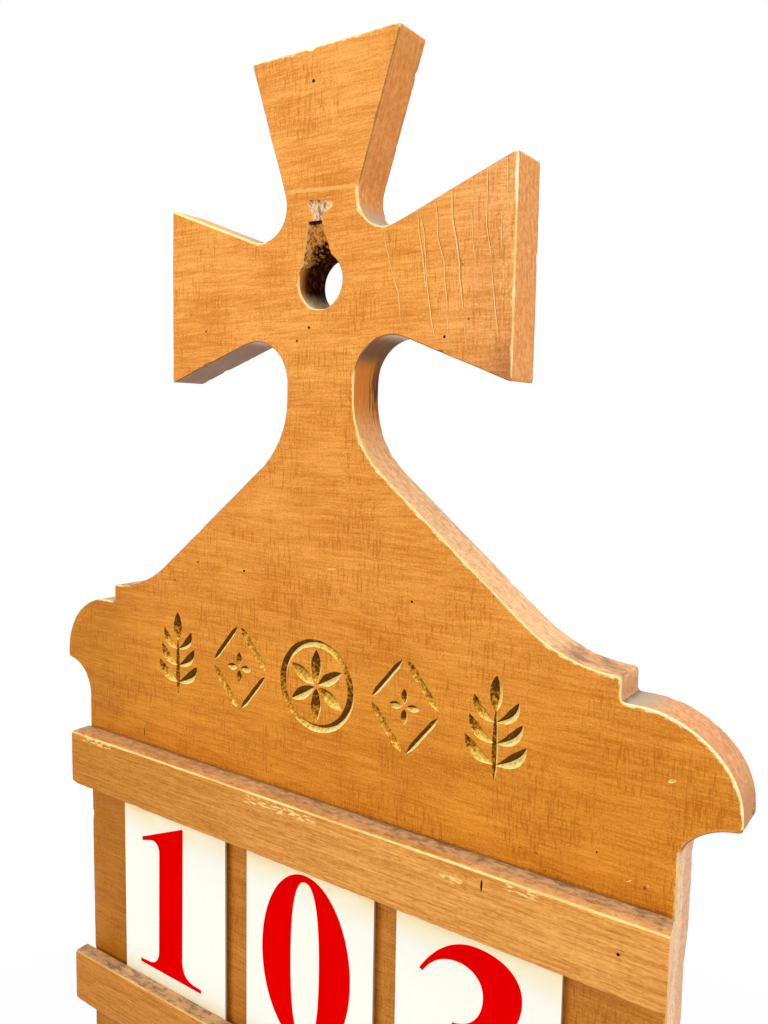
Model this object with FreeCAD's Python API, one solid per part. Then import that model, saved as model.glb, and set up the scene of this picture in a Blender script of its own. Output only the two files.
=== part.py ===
"""Hymn board: a wall-hung wooden board with a cross crest, five rebated rails and loose number cards.

Axes: X to the right, Y from the front of the board towards the wall, Z up.
Origin: on the axis of the keyhole, at the back face of the board.
All sizes are in millimetres.
"""
import FreeCAD, Part
import math
import os

from FreeCAD import Vector

# Board
BOARD_WIDTH = 272.0
BOARD_THICKNESS = 16.0
BOARD_ARRIS_RADIUS = 1.0     # rounding of the front edge of the outline; the back edge stays sharp
BOTTOM_MARGIN = 8.5          # board left showing under the bottom rail

# Cross crest, measured from the keyhole axis
CROSS_TOP_HEIGHT = 81.6
CROSS_TOP_WIDTH = 67.0
CROSS_SPAN = 155.8
CROSS_ARM_TOP = 34.3         # height of the outer top corner of a side arm
LEFT_ARM_END = 70.0          # height of the outer end of each side arm; the right one,
RIGHT_ARM_END = 71.6         # sawn by hand, flares a little more
HUB_HALF_SIZE = 16.4         # axis to the nearest point of an upper armpit, in X and in Z
UPPER_ARMPIT_RADIUS = 12.0
HUB_DEPTH = 20.5             # axis down to the top of a lower armpit
LOWER_ARMPIT_RADIUS = 15.8

# Neck and slopes
NECK_WIDTH = 31.2
NECK_STRAIGHT = 5.8          # short upright length between the armpit and the neck curve
NECK_RADIUS = 34.0
SLOPE_FOOT_DEPTH = 125.2     # keyhole axis down to the foot of a slope
SLOPE_FOOT_RADIUS = 52.0

# Shoulders: step, ovolo, small upright lip, cove
STEP_HEIGHT = 7.8
LEDGE_LENGTH = 6.5           # level part between the step and the ovolo
OVOLO_RADIUS = 28.0
SHOULDER_LIP = 3.0
COVE_RADIUS = 16.0
COVE_TO_TOP_RAIL = 15.0

# Keyhole: a round hole with a sloped hanging notch chiselled above it
KEYHOLE_RADIUS = 10.0
NOTCH_HEIGHT = 20.8          # keyhole axis up to the end of the notch
NOTCH_TOP_WIDTH = 5.6
NOTCH_MOUTH_WIDTH = 14.0
NOTCH_TOP_DEPTH = 2.5
NOTCH_MOUTH_DEPTH = 7.0

# Number cards
ROW_COUNT = 4
CARD_WIDTH = 63.5
CARD_HEIGHT = 95.25
CARD_THICKNESS = 1.0
CARD_FOOT_CLEARANCE = 0.3    # card above the rebate that it stands in
CARD_TOP_PLAY = 1.95         # card below the rebate over its head
CARD_BACK_CLEARANCE = 1.7    # card in front of the board
CARD_FRONT_CLEARANCE = 0.3   # card behind the lips that it leans on
CARD_MIDDLE_X = (-1.4, 1.6, -0.6, 2.3)
CARD_LEFT_GAP = (12.2, 9.5, 11.5, 8.5)
CARD_RIGHT_GAP = (9.9, 11.0, 9.0, 12.5)

# Rails
RAIL_HEIGHT = 22.0
RAIL_LIP_THICKNESS = 6.5
RAIL_OVERHANG = 2.2          # rail past each side of the board
RAIL_ARRIS_RADIUS = 1.2
REBATE_HEIGHT = 6.0

# Panel pins that hold the rails to the board
PIN_RADIUS = 0.7
PIN_PUNCH_DEPTH = 1.5        # top of the pin below the face of the rail
PIN_BITE = 10.0              # length of the pin inside the board
PIN_SIDE_CLEARANCE = 0.05
PIN_END_CLEARANCE = 0.3
PIN_SIDE_MARGIN = 12.5       # outer pins from the side of the board

# Planes and levels that several pieces share
BOARD_FRONT_Y = -BOARD_THICKNESS
REBATE_DEPTH = CARD_BACK_CLEARANCE + CARD_THICKNESS + CARD_FRONT_CLEARANCE
RAIL_THICKNESS = RAIL_LIP_THICKNESS + REBATE_DEPTH
RAIL_FRONT_Y = BOARD_FRONT_Y - RAIL_THICKNESS
RAIL_HALF_LENGTH = BOARD_WIDTH / 2 + RAIL_OVERHANG
RAIL_OPENING = CARD_FOOT_CLEARANCE + CARD_HEIGHT + CARD_TOP_PLAY - 2 * REBATE_HEIGHT
ROW_PITCH = RAIL_OPENING + RAIL_HEIGHT
LEDGE_Z = -SLOPE_FOOT_DEPTH - STEP_HEIGHT
SHOULDER_LIP_Z = LEDGE_Z - OVOLO_RADIUS - SHOULDER_LIP
COVE_FOOT_Z = SHOULDER_LIP_Z - COVE_RADIUS
TOP_RAIL_Z = COVE_FOOT_Z - COVE_TO_TOP_RAIL
BOARD_BOTTOM_Z = TOP_RAIL_Z - ROW_COUNT * ROW_PITCH - RAIL_HEIGHT - BOTTOM_MARGIN

PIN_X = (PIN_SIDE_MARGIN - BOARD_WIDTH / 2, 0, BOARD_WIDTH / 2 - PIN_SIDE_MARGIN)

RAIL_NAMES = ("top_rail", "second_rail", "third_rail", "fourth_rail", "bottom_rail")
PLACE_NAMES = ("left", "middle", "right")


def front_point(x, z):
    """Point on the front face of the board."""
    return Vector(x, BOARD_FRONT_Y, z)


def on_circle(centre, radius, degrees):
    """Point on a circle in the front face, at an angle counted from +X towards +Z."""
    angle = math.radians(degrees)
    return centre + Vector(radius * math.cos(angle), 0, radius * math.sin(angle))


def bearing(start, end):
    """Angle of the line from start to end, in degrees from +X towards +Z."""
    return math.degrees(math.atan2(end.z - start.z, end.x - start.x))


def line(start, end):
    """Straight edge."""
    return Part.LineSegment(start, end).toShape()


def arc(centre, radius, start_degrees, end_degrees):
    """Edge along a circle in the front face, from one angle to the other."""
    start = on_circle(centre, radius, start_degrees)
    middle = on_circle(centre, radius, (start_degrees + end_degrees) / 2)
    end = on_circle(centre, radius, end_degrees)
    return Part.Arc(start, middle, end).toShape()


def touch_degrees(corner, centre, radius, side):
    """Angle on the circle where a straight line from corner touches it.

    side is +1 where the touching point lies anticlockwise of the way back to the corner,
    and -1 where it lies clockwise.
    """
    spread = math.degrees(math.acos(radius / corner.distanceToPoint(centre)))
    return bearing(centre, corner) + side * spread


def joined(path, end):
    """Straight edge from the end of the last edge of path to end."""
    return line(path[-1].Vertexes[-1].Point, end)


def upper_cross_path(arm_end):
    """Top corner of the cross, round the upper armpit, and down the end of the side arm."""
    top_corner = front_point(CROSS_TOP_WIDTH / 2, CROSS_TOP_HEIGHT)
    arm_top_corner = front_point(CROSS_SPAN / 2, CROSS_ARM_TOP)
    arm_bottom_corner = front_point(CROSS_SPAN / 2, CROSS_ARM_TOP - arm_end)
    offset = HUB_HALF_SIZE + UPPER_ARMPIT_RADIUS
    centre = front_point(offset, offset)
    start = touch_degrees(top_corner, centre, UPPER_ARMPIT_RADIUS, 1)
    end = touch_degrees(arm_top_corner, centre, UPPER_ARMPIT_RADIUS, -1) + 360
    path = [line(top_corner, on_circle(centre, UPPER_ARMPIT_RADIUS, start))]
    path.append(arc(centre, UPPER_ARMPIT_RADIUS, start, end))
    path.append(joined(path, arm_top_corner))
    path.append(line(arm_top_corner, arm_bottom_corner))
    return path


def neck_path(start_point):
    """From the lower corner of the side arm round the lower armpit and down the neck and the slope."""
    armpit = front_point(NECK_WIDTH / 2 + LOWER_ARMPIT_RADIUS, -HUB_DEPTH - LOWER_ARMPIT_RADIUS)
    neck = front_point(NECK_WIDTH / 2 + NECK_RADIUS, armpit.z - NECK_STRAIGHT)
    foot = front_point(step_x(), SLOPE_FOOT_RADIUS - SLOPE_FOOT_DEPTH)
    armpit_start = touch_degrees(start_point, armpit, LOWER_ARMPIT_RADIUS, 1)
    lean = math.degrees(math.asin((SLOPE_FOOT_RADIUS - NECK_RADIUS) / neck.distanceToPoint(foot)))
    slope = 270 + bearing(neck, foot) - lean
    path = [line(start_point, on_circle(armpit, LOWER_ARMPIT_RADIUS, armpit_start))]
    path.append(arc(armpit, LOWER_ARMPIT_RADIUS, armpit_start, 180))
    path.append(joined(path, on_circle(neck, NECK_RADIUS, 180)))
    path.append(arc(neck, NECK_RADIUS, 180, slope))
    path.append(joined(path, on_circle(foot, SLOPE_FOOT_RADIUS, slope)))
    path.append(arc(foot, SLOPE_FOOT_RADIUS, slope, 270))
    return path


def step_x():
    """Side of the small step at the foot of the slope."""
    return BOARD_WIDTH / 2 + COVE_RADIUS - OVOLO_RADIUS - LEDGE_LENGTH


def shoulder_path():
    """Step, ledge, ovolo, lip and cove of the shoulder, and the side of the board."""
    tip_x = BOARD_WIDTH / 2 + COVE_RADIUS
    ovolo = front_point(tip_x - OVOLO_RADIUS, LEDGE_Z - OVOLO_RADIUS)
    cove = front_point(tip_x, COVE_FOOT_Z)
    path = [line(front_point(step_x(), -SLOPE_FOOT_DEPTH), front_point(step_x(), LEDGE_Z))]
    path.append(joined(path, on_circle(ovolo, OVOLO_RADIUS, 90)))
    path.append(arc(ovolo, OVOLO_RADIUS, 90, 0))
    path.append(joined(path, front_point(tip_x, SHOULDER_LIP_Z)))
    path.append(arc(cove, COVE_RADIUS, 90, 180))
    path.append(joined(path, front_point(BOARD_WIDTH / 2, BOARD_BOTTOM_Z)))
    return path


def right_half(arm_end):
    """Outline from the top corner of the cross down to the bottom of the board, on the right."""
    path = upper_cross_path(arm_end)
    path += neck_path(path[-1].Vertexes[-1].Point)
    return path + shoulder_path()


def board_outline():
    """Closed outline of the board: both sides, and the level top and bottom."""
    right = right_half(RIGHT_ARM_END)
    left = [edge.mirror(Vector(0, 0, 0), Vector(1, 0, 0)) for edge in right_half(LEFT_ARM_END)]
    half_top = CROSS_TOP_WIDTH / 2
    half_bottom = BOARD_WIDTH / 2
    top = line(front_point(-half_top, CROSS_TOP_HEIGHT), front_point(half_top, CROSS_TOP_HEIGHT))
    bottom = line(front_point(-half_bottom, BOARD_BOTTOM_Z), front_point(half_bottom, BOARD_BOTTOM_Z))
    return Part.Wire(Part.__sortEdges__(right + left + [top, bottom]))


def sawn_board():
    """The outline as a solid, with its front arris rounded."""
    blank = Part.Face(board_outline()).extrude(Vector(0, BOARD_THICKNESS, 0))
    front_edges = [edge for edge in blank.Edges if edge.BoundBox.YMax < BOARD_FRONT_Y + BOARD_ARRIS_RADIUS]
    return blank.makeFillet(BOARD_ARRIS_RADIUS, front_edges)


def polygon_face(points):
    """Flat face inside a closed polygon."""
    return Part.Face(Part.makePolygon(points + points[:1]))


def hanging_notch():
    """Tapered notch above the keyhole, whose floor gets deeper towards the round hole."""
    half_top = NOTCH_TOP_WIDTH / 2
    half_mouth = NOTCH_MOUTH_WIDTH / 2
    mouth_z = math.sqrt(KEYHOLE_RADIUS ** 2 - half_mouth ** 2)
    outline = [(-half_top, NOTCH_HEIGHT), (half_top, NOTCH_HEIGHT), (half_mouth, mouth_z),
               (half_mouth, 0), (-half_mouth, 0), (-half_mouth, mouth_z)]
    section = [(0, NOTCH_HEIGHT), (NOTCH_TOP_DEPTH, NOTCH_HEIGHT), (NOTCH_MOUTH_DEPTH, mouth_z),
               (NOTCH_MOUTH_DEPTH, 0), (0, 0)]
    front_face = polygon_face([front_point(x, z) for x, z in outline])
    side_face = polygon_face([Vector(-half_mouth, BOARD_FRONT_Y + depth, z) for depth, z in section])
    wedge = side_face.extrude(Vector(NOTCH_MOUTH_WIDTH, 0, 0))
    return front_face.extrude(Vector(0, BOARD_THICKNESS, 0)).common(wedge)


def rail_top(index):
    """Height of the top edge of a rail, counted from 0 at the top."""
    return TOP_RAIL_Z - index * ROW_PITCH


def rail_pins(index, radius, front_y, end_y):
    """Cylinders along Y at the pin places of one rail, from front_y to end_y."""
    middle_z = rail_top(index) - RAIL_HEIGHT / 2
    length = end_y - front_y
    return [Part.makeCylinder(radius, length, Vector(x, front_y, middle_z), Vector(0, 1, 0)) for x in PIN_X]


def pin_holes(index):
    """Holes for the pins of one rail, from in front of the rail to just past the pin ends in the board."""
    end_y = BOARD_FRONT_Y + PIN_BITE + PIN_END_CLEARANCE
    return rail_pins(index, PIN_RADIUS + PIN_SIDE_CLEARANCE, RAIL_FRONT_Y, end_y)


def back_board():
    """The sawn board with its keyhole, hanging notch and pin holes."""
    keyhole = Part.makeCylinder(KEYHOLE_RADIUS, BOARD_THICKNESS, front_point(0, 0), Vector(0, 1, 0))
    holes = [hole for index in range(len(RAIL_NAMES)) for hole in pin_holes(index)]
    return sawn_board().cut([keyhole, hanging_notch()] + holes)


def rail_profile(top_rebate, bottom_rebate):
    """Cross-section of a rail in the YZ plane, with Z = 0 at its top edge."""
    low = -RAIL_HEIGHT
    rebate_z = low + REBATE_HEIGHT
    round_y = RAIL_FRONT_Y + RAIL_ARRIS_RADIUS
    lip_back_y = RAIL_FRONT_Y + RAIL_LIP_THICKNESS
    top_back = [(BOARD_FRONT_Y, 0)]
    bottom_back = [(BOARD_FRONT_Y, low)]
    if top_rebate:
        top_back = [(BOARD_FRONT_Y, -REBATE_HEIGHT), (lip_back_y, -REBATE_HEIGHT), (lip_back_y, 0)]
    if bottom_rebate:
        bottom_back = [(lip_back_y, low), (lip_back_y, rebate_z), (BOARD_FRONT_Y, rebate_z)]
    corners = [(round_y, low)] + bottom_back + top_back + [(round_y, 0)]
    points = [Vector(0, y, z) for y, z in corners]
    front_top = Vector(0, RAIL_FRONT_Y, -RAIL_ARRIS_RADIUS)
    front_low = Vector(0, RAIL_FRONT_Y, low + RAIL_ARRIS_RADIUS)
    edges = [line(start, end) for start, end in zip(points, points[1:])]
    edges += [rail_arris(front_top.z, 1), line(front_top, front_low), rail_arris(front_low.z, -1)]
    return Part.Face(Part.Wire(Part.__sortEdges__(edges)))


def rail_arris(centre_z, side):
    """Quarter circle that rounds a front arris of a rail: the upper for side +1, the lower for -1."""
    centre = Vector(0, RAIL_FRONT_Y + RAIL_ARRIS_RADIUS, centre_z)
    reach = RAIL_ARRIS_RADIUS * math.sqrt(0.5)
    middle = centre + Vector(0, -reach, side * reach)
    return Part.Arc(centre + Vector(0, -RAIL_ARRIS_RADIUS, 0), middle,
                    centre + Vector(0, 0, side * RAIL_ARRIS_RADIUS)).toShape()


def rail(index):
    """One rail with its pin holes. The top rail has no upper rebate and the bottom rail no lower one."""
    last = len(RAIL_NAMES) - 1
    profile = rail_profile(top_rebate=index > 0, bottom_rebate=index < last)
    bar = profile.extrude(Vector(2 * RAIL_HALF_LENGTH, 0, 0))
    bar.translate(Vector(-RAIL_HALF_LENGTH, 0, rail_top(index)))
    return bar.cut(pin_holes(index))


def pins(index):
    """The panel pins of one rail, punched below its face."""
    front_y = RAIL_FRONT_Y + PIN_PUNCH_DEPTH
    return Part.makeCompound(rail_pins(index, PIN_RADIUS, front_y, BOARD_FRONT_Y + PIN_BITE))


def card_left_x(row, place):
    """Left edge of a card, from the place of the middle card and the gaps of its row."""
    steps = (-CARD_WIDTH - CARD_LEFT_GAP[row], 0, CARD_WIDTH + CARD_RIGHT_GAP[row])
    return CARD_MIDDLE_X[row] + steps[place] - CARD_WIDTH / 2


def card(row, place):
    """One number card, standing in the upper rebate of the rail under its row."""
    foot_z = rail_top(row + 1) - REBATE_HEIGHT + CARD_FOOT_CLEARANCE
    front_y = BOARD_FRONT_Y - CARD_BACK_CLEARANCE - CARD_THICKNESS
    corner = Vector(card_left_x(row, place), front_y, foot_z)
    return Part.makeBox(CARD_WIDTH, CARD_THICKNESS, CARD_HEIGHT, corner)


def all_pieces():
    """Every piece of the hymn board, by name."""
    pieces = {"back_board": back_board()}
    for index, name in enumerate(RAIL_NAMES):
        pieces[name] = rail(index)
        pieces[name + "_pins"] = pins(index)
    for row in range(ROW_COUNT):
        for place, place_name in enumerate(PLACE_NAMES):
            pieces[f"card_row{row + 1}_{place_name}"] = card(row, place)
    return pieces


os.makedirs("parts", exist_ok=True)
for piece_name, shape in all_pieces().items():
    shape.exportStep(f"parts/{piece_name}.step")
    print(f"{piece_name}: {len(shape.Solids)} solids, {shape.Volume:.1f} mm3, valid {shape.isValid()}")
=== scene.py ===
"""Looks of the hymn board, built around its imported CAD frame.

The frame is in metres. The sizes below are in millimetres, as the part's own are, and become
metres where points are placed. X is to the right, -Y towards the viewer and Z up, and the origin
is on the keyhole axis at the back face of the board.
"""

import math

import bmesh
import bpy
from mathutils import Matrix, Vector, noise
from mathutils.kdtree import KDTree

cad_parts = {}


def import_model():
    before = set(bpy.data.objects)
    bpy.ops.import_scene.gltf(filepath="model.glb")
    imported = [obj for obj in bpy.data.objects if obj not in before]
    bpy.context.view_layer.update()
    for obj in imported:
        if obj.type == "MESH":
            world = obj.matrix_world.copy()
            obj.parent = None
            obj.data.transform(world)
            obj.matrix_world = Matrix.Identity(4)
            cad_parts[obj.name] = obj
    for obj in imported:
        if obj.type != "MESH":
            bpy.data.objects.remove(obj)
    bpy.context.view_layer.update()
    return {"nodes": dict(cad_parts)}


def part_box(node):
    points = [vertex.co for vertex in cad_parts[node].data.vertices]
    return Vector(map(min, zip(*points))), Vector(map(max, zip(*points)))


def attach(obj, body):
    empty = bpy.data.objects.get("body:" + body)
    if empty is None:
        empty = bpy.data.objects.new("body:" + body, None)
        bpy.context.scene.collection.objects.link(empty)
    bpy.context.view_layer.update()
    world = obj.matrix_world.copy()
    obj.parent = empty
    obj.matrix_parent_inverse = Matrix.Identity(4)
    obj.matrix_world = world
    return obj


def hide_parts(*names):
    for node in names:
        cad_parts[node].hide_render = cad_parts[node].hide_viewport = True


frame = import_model()

MM = 0.001
TOLERANCE = 0.01             # between points that are taken as one, or as level
MERGE_DISTANCE = 0.001
SEED_SHIFT = (17.3, 5.1, 9.7)    # between the noises of two seeds, in noise cells
WHITE = (1, 1, 1, 1)

# Camera, as calibrated on the board's own corners
CAMERA_PLACE = (204.41, -267.69, -50.75)
CAMERA_TURN = 34.74          # degrees to the left of straight ahead
CAMERA_DIP = 5.77            # degrees below level
CAMERA_ROLL = 0.98
CAMERA_LENS = 30.82          # for the 36 mm long side of the picture
CAMERA_SENSOR = 36.0
CAMERA_NEAR = 10.0

# Board
BOARD_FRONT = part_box("back_board")[0].y / MM
OUTLINE_STEP = 1.0           # spacing of the points round the outline
SHOULDER_ROOT = 136.0        # past this the right shoulder was sawn fuller than the left
SHOULDER_SWELL = 2.3         # by this at its tip
SIDE_SWELL = 0.8             # and the side under it by this, between its foot and the top rail
SIDE_SWELL_TOP = (-171.0, -176.0)        # heights between which this begins, and ends
SIDE_SWELL_FOOT = (-222.0, -200.0)
CORNER_PASSES = 2            # smoothing passes that wear the sharp corners of the outline round
WEAR_RADIUS = (0.3, 0.85)    # least and most rounding of the front arris
WEAR_CELL = 22.0             # length of a worn stretch, and of the finer ones in it
WEAR_FINE_CELL = 5.0
DENT_CELL = 4.0
DENT_LEVEL = 0.42            # noise above this makes a dent
DENT_RADIUS = 3.0            # how fast a dent adds to it
RUBBED_PLACES = ((-66, 32, 26, 0.9), (-34, 21, 20, 0.6), (76, 40, 12, 0.5), (76, -10, 22, 0.3),
                 (130, -150, 16, 0.4))     # more rounding at (x, z), within a reach
FACING_LIGHT_RIGHT = (-0.3, 0.0)   # how far to the right, and up, an arris faces where its bare wood and painted highlight begin
FACING_LIGHT_UP = (-0.4, 0.0)      # and where they are full
BACK_ROUNDING = 0.5
BACK_CHIPS = 1.6             # how fast a chip adds to it
BACK_CELL = 3.0
BACK_LEVEL = 0.2             # noise above this makes a chip
RIM_WIDTH = 2.2              # band of the face beside the arris where the finish is thin
SAW_WAVE = 0.12              # unevenness of the sawn edge
SAW_CELL = 14.0
SIDE_LEVELS = (BOARD_FRONT + 3.5, BOARD_FRONT / 2)     # Y of two rings on the side
SIDE_FACING = 0.2            # a side face's normal has less than this along Y
SHARPEST = -0.5              # cosine past which a corner isn't offset any further
FOLD_SHARE = 0.96            # a point nearer to the outline than this share of its inset folds over
BOARD_SHARP = 32             # degrees from which an edge is shaded as sharp
RAIL_SHARP = 35
ARRIS_STEPS = 5
BORE_WEAR = 0.6
BORE_REACH = 10.3            # the wall of the keyhole lies within this distance of its axis

# Rails
RAIL_NAMES = ("top_rail", "second_rail", "third_rail", "fourth_rail", "bottom_rail")
RAIL_STEP = 1.6
RAIL_PROFILE_STEP = 2.5
RAIL_END_WEAR = 0.9
RAIL_END_STEPS = 3
RAIL_SEED = 30               # of the top rail, and one more for each below
RAIL_DEEPER = 3.0            # a rail's lower lip hangs this much below the solid's
RAIL_LIP_EDGE = 1.6          # its points lie within this height of its lower edge
RAIL_CORNER = 1.1            # and its corners are worn up by this
RAIL_CORNER_REACH = 5.0
RAIL_SLANT = (0.4, -1.3)     # its right end stands out at the front, and is sanded off at the board
RAIL_SLANT_REACH = 12.0
RAIL_DENT = 0.6
RAIL_LEAST_WEAR = 0.25       # share of it all along a front arris
RAIL_DENT_CELLS = (7.0, 2.3)
RAIL_ARRIS_BAND = 2.6        # reach of the wear from a front arris of a rail
RAIL_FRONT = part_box("top_rail")[0].y / MM
OPEN_PIN_X = 123.5           # the only pin hole that isn't stopped with filler
PIN_HOLE = (0.62, 1.45)      # radius and depth

# Hanging notch and the worn patch above it: (height, left, right, depth) of each station
NOTCH = ((21.5, -5.8, 0.6, 1.9), (17.5, -6.4, 1.7, 3.1), (13.0, -7.2, 3.6, 4.6),
         (8.0, -8.3, 5.7, 6.4), (5.5, -8.8, 6.2, 7.0))
WORN_PATCH = ((28.9, -5.7, -2.4, 0.3), (28.3, -6.7, 2.1, 0.5), (27.4, -6.8, 5.8, 0.5),
              (25.8, -6.1, 6.0, 0.5), (24.6, -4.9, 3.8, 0.5), (23.5, -4.1, 1.6, 0.5),
              (21.2, -3.8, 1.1, 0.6))
NOTCH_WALL = 8               # high: steep sides; low: a shallow bowl
PATCH_WALL = 3
POCKET_STEP = 0.45
POCKET_ACROSS = 17
POCKET_ROUGHNESS = 0.4
POCKET_ROUGH_CELL = (1.1, 1.6)
POCKET_WAVER = 0.35          # of its sides
POCKET_CELL = 1.3
CUTTER_LIFT = 1.0            # height of pocket and hole cutters above the face
POCKET_RIM = 0.05            # a pocket's edge starts this far above the face

# Small holes and dents in the face of the board: (x, z, radius, depth)
SPOTS = ((-3.8, 70.0, 0.75, 1.2), (-5.0, -16.3, 0.6, 1.5), (-10.7, -20.9, 0.55, 1.5),
         (-58.4, -15.4, 0.45, 1.0), (-63.6, -109.2, 0.5, 1.2), (-37.4, -110.1, 0.6, 1.2),
         (-77.6, -118.4, 0.45, 0.9), (42.3, -112.1, 0.5, 1.0), (52.9, -22.0, 0.55, 1.4),
         (112.1, -181.6, 0.4, 0.8), (86.2, -187.9, 0.28, 0.5),
         (91.9, -188.0, 0.28, 0.5), (95.4, -192.9, 0.28, 0.5))
DENTS = ((59.1, 0.8, 0.42, 0.25), (61.9, -16.7, 0.48, 0.25), (127.6, -188.2, 0.75, 0.4))
HOLE_SIDES = 10
HOLE_WAVER = 0.18
HOLE_WAIST = 0.6             # share of its depth at which a hole begins to close
HOLE_TAPER = (1.0, 0.85, 0.35)         # shares of its radius above the face, there and at its end

# Scuffs that show bare wood, and dark splits: (x and z of both ends, half width)
SCUFFS = ((4.2, -104.6, 9.4, -104.3, 0.42), (132.6, -153.8, 135.3, -152.8, 0.7),
          (121.7, -188.2, 123.8, -186.8, 0.3), (-51.0, -6.0, -50.2, -2.0, 0.25),
          (14.5, -24.7, 15.6, -27.0, 0.4), (15.0, -26.3, 17.0, -25.3, 0.25),
          (47.0, 4.9, 48.5, 3.7, 0.45), (64.2, -11.6, 65.2, -12.8, 0.35),
          (127.9, -187.8, 129.0, -187.2, 0.3))
BOARD_SPLITS = ((-98.2, -186.8, -98.0, -192.2, 0.32),)
RAIL_SPLITS = ((77.6, -196.9, 77.4, -202.2, 0.45),)

# Cracks in the right arm: the half width and the (x, z) knots of each
CRACK_LIFT = 0.3             # height of their cutters above the face
CRACK_STEP = 1.5
CRACK_SLOPE = 0.7
CRACK_TAPER = (0.4, 4.0)     # share of the width left at an end, and length of the taper
ARM_CRACKS = (
    (0.4, ((54.5, 26.2), (55.0, 15.8), (56.6, 9.0), (58.0, 1.3), (58.3, -3.2), (59.9, -14.2))),
    (0.28, ((41.4, 20.8), (42.2, 13.0), (43.9, 5.0), (44.8, -2.2), (45.5, -6.4))),
    (0.3, ((42.3, 19.1), (44.2, 12.7), (44.9, 5.2), (45.7, -4.6), (47.7, -15.9), (49.4, -22.4))),
    (0.3, ((48.4, 22.6), (49.3, 15.8), (49.6, 10.3), (52.2, 2.3), (52.6, -3.7), (54.2, -13.9))),
    (0.2, ((60.5, 27.6), (61.0, 25.0))),
    (0.23, ((62.1, 28.4), (62.7, 21.3))),
    (0.2, ((62.1, 17.0), (62.7, 8.0), (63.8, 1.7))),
    (0.3, ((67.2, 30.6), (67.5, 19.9), (67.6, 11.9), (69.1, 4.8), (69.4, 2.1))),
    (0.28, ((69.6, -0.1), (70.4, -5.9), (71.6, -14.9), (72.9, -23.0))),
    (0.23, ((72.8, 15.3), (73.3, 2.6))),
    (0.32, ((74.3, 33.0), (74.8, 20.4))),
    (0.19, ((28.3, 16.3), (28.4, 11.6), (31.2, 1.8), (34.4, -7.0), (35.4, -16.2))),
    (0.2, ((37.4, 14.6), (37.6, 8.2))),
    (0.18, ((64.8, -3.0), (65.2, -8.3))),
    (0.18, ((53.4, -10.0), (54.6, -24.0))),
    (0.18, ((60.3, -17.0), (61.2, -25.5))),
    (0.18, ((76.3, 30.0), (76.4, 19.0))))

# Chips out of the tip of the right shoulder: (x, y, z, radius)
CHIPS = ((155.2, -3.6, -160.6, 1.7), (155.2, -7.0, -163.8, 1.5), (154.0, -2.0, -166.0, 2.0),
         (154.4, -10.6, -165.6, 1.2), (155.0, -0.8, -156.6, 1.3), (155.2, -13.0, -162.0, 1.1),
         (153.4, -14.6, -167.0, 1.3), (151.6, -0.8, -169.6, 1.6))
CHIP_LENGTH = 1.7            # of a chip up the shoulder, over its width
CHIP_WAVER = 0.35
CHIP_CELLS = 1.3             # noise cells in its radius

# Carved band: V cuts with gilded sides
BAND_HEIGHT = -150.0
GROOVE_SLOPE = 1.05          # depth of a cut over its half width
GROOVE_LIFT = 1.2            # height of the cutter above the face
THICK_CUT = 2.5              # half widths
MIDDLE_CUT = 1.6
THIN_CUT = 1.2
CUT_TIP = -0.08              # half width at a pointed end, where the cutter has left the wood
CUT_STEP = 1.0
CUT_WAVER = 0.09             # of its middle line
CUT_WAVER_CELL = 4.0
CUT_SWELL = 0.12             # share by which its width is uneven
CUT_SWELL_CELL = 3.0
CUT_LEAST_STEPS = 8
STROKE_TAPER = 4.5           # length of a stroke's pointed end
LEAF_BLUNTNESS = 0.8
ROSETTE_RADIUS = 16.4
ROSETTE_TURN = 0.7           # radians to where its ring is thickest
PETAL_COUNT = 6
PETAL_ROOT = 0.9             # from the centre
PETAL_TIP = ROSETTE_RADIUS - 2.2
LOZENGE_X = 40.0
LOZENGE_HALF = (15.0, 18.0)
LOZENGE_GAP = 1.3            # uncut wood at the corners of a lozenge
LOZENGE_CHIP = (0.8, 6.6, 1.5)         # start, end and half width of its short chips
SPRIG_X = 76.0
SPRIG_HALF_HEIGHT = 18.0
STEM_TOP = 8.0               # above the middle of the sprig
STEM_FULLNESS = 0.4
BUD_FOOT = 5.5               # above the middle of the sprig
LEAF_PAIRS = 3
LEAF_ROOT = 5.5              # of the lowest pair above the sprig's foot
LEAF_STEP = 7.2
LEAF_REACH = 11.5            # of the lowest pair to the side
LEAF_SHORTER = 1.6           # by this for each pair above
LEAF_RISE = 8.5
LEAF_CUTS = (2.3, 1.9)       # half widths of the lowest and highest leaves
LEAF_BOW = 1.8
LEAF_FULLNESS = 0.55

# Numerals
NUMERAL_FOOT = 11.2          # card left under a numeral
NUMERAL_THICKNESS = 0.06
NUMERAL_SMOOTHNESS = 20
NUMBERS = ("103", "247", "320", "174")
PLACE_NAMES = ("left", "middle", "right")
CARD_ROUNDING = 0.15

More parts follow.
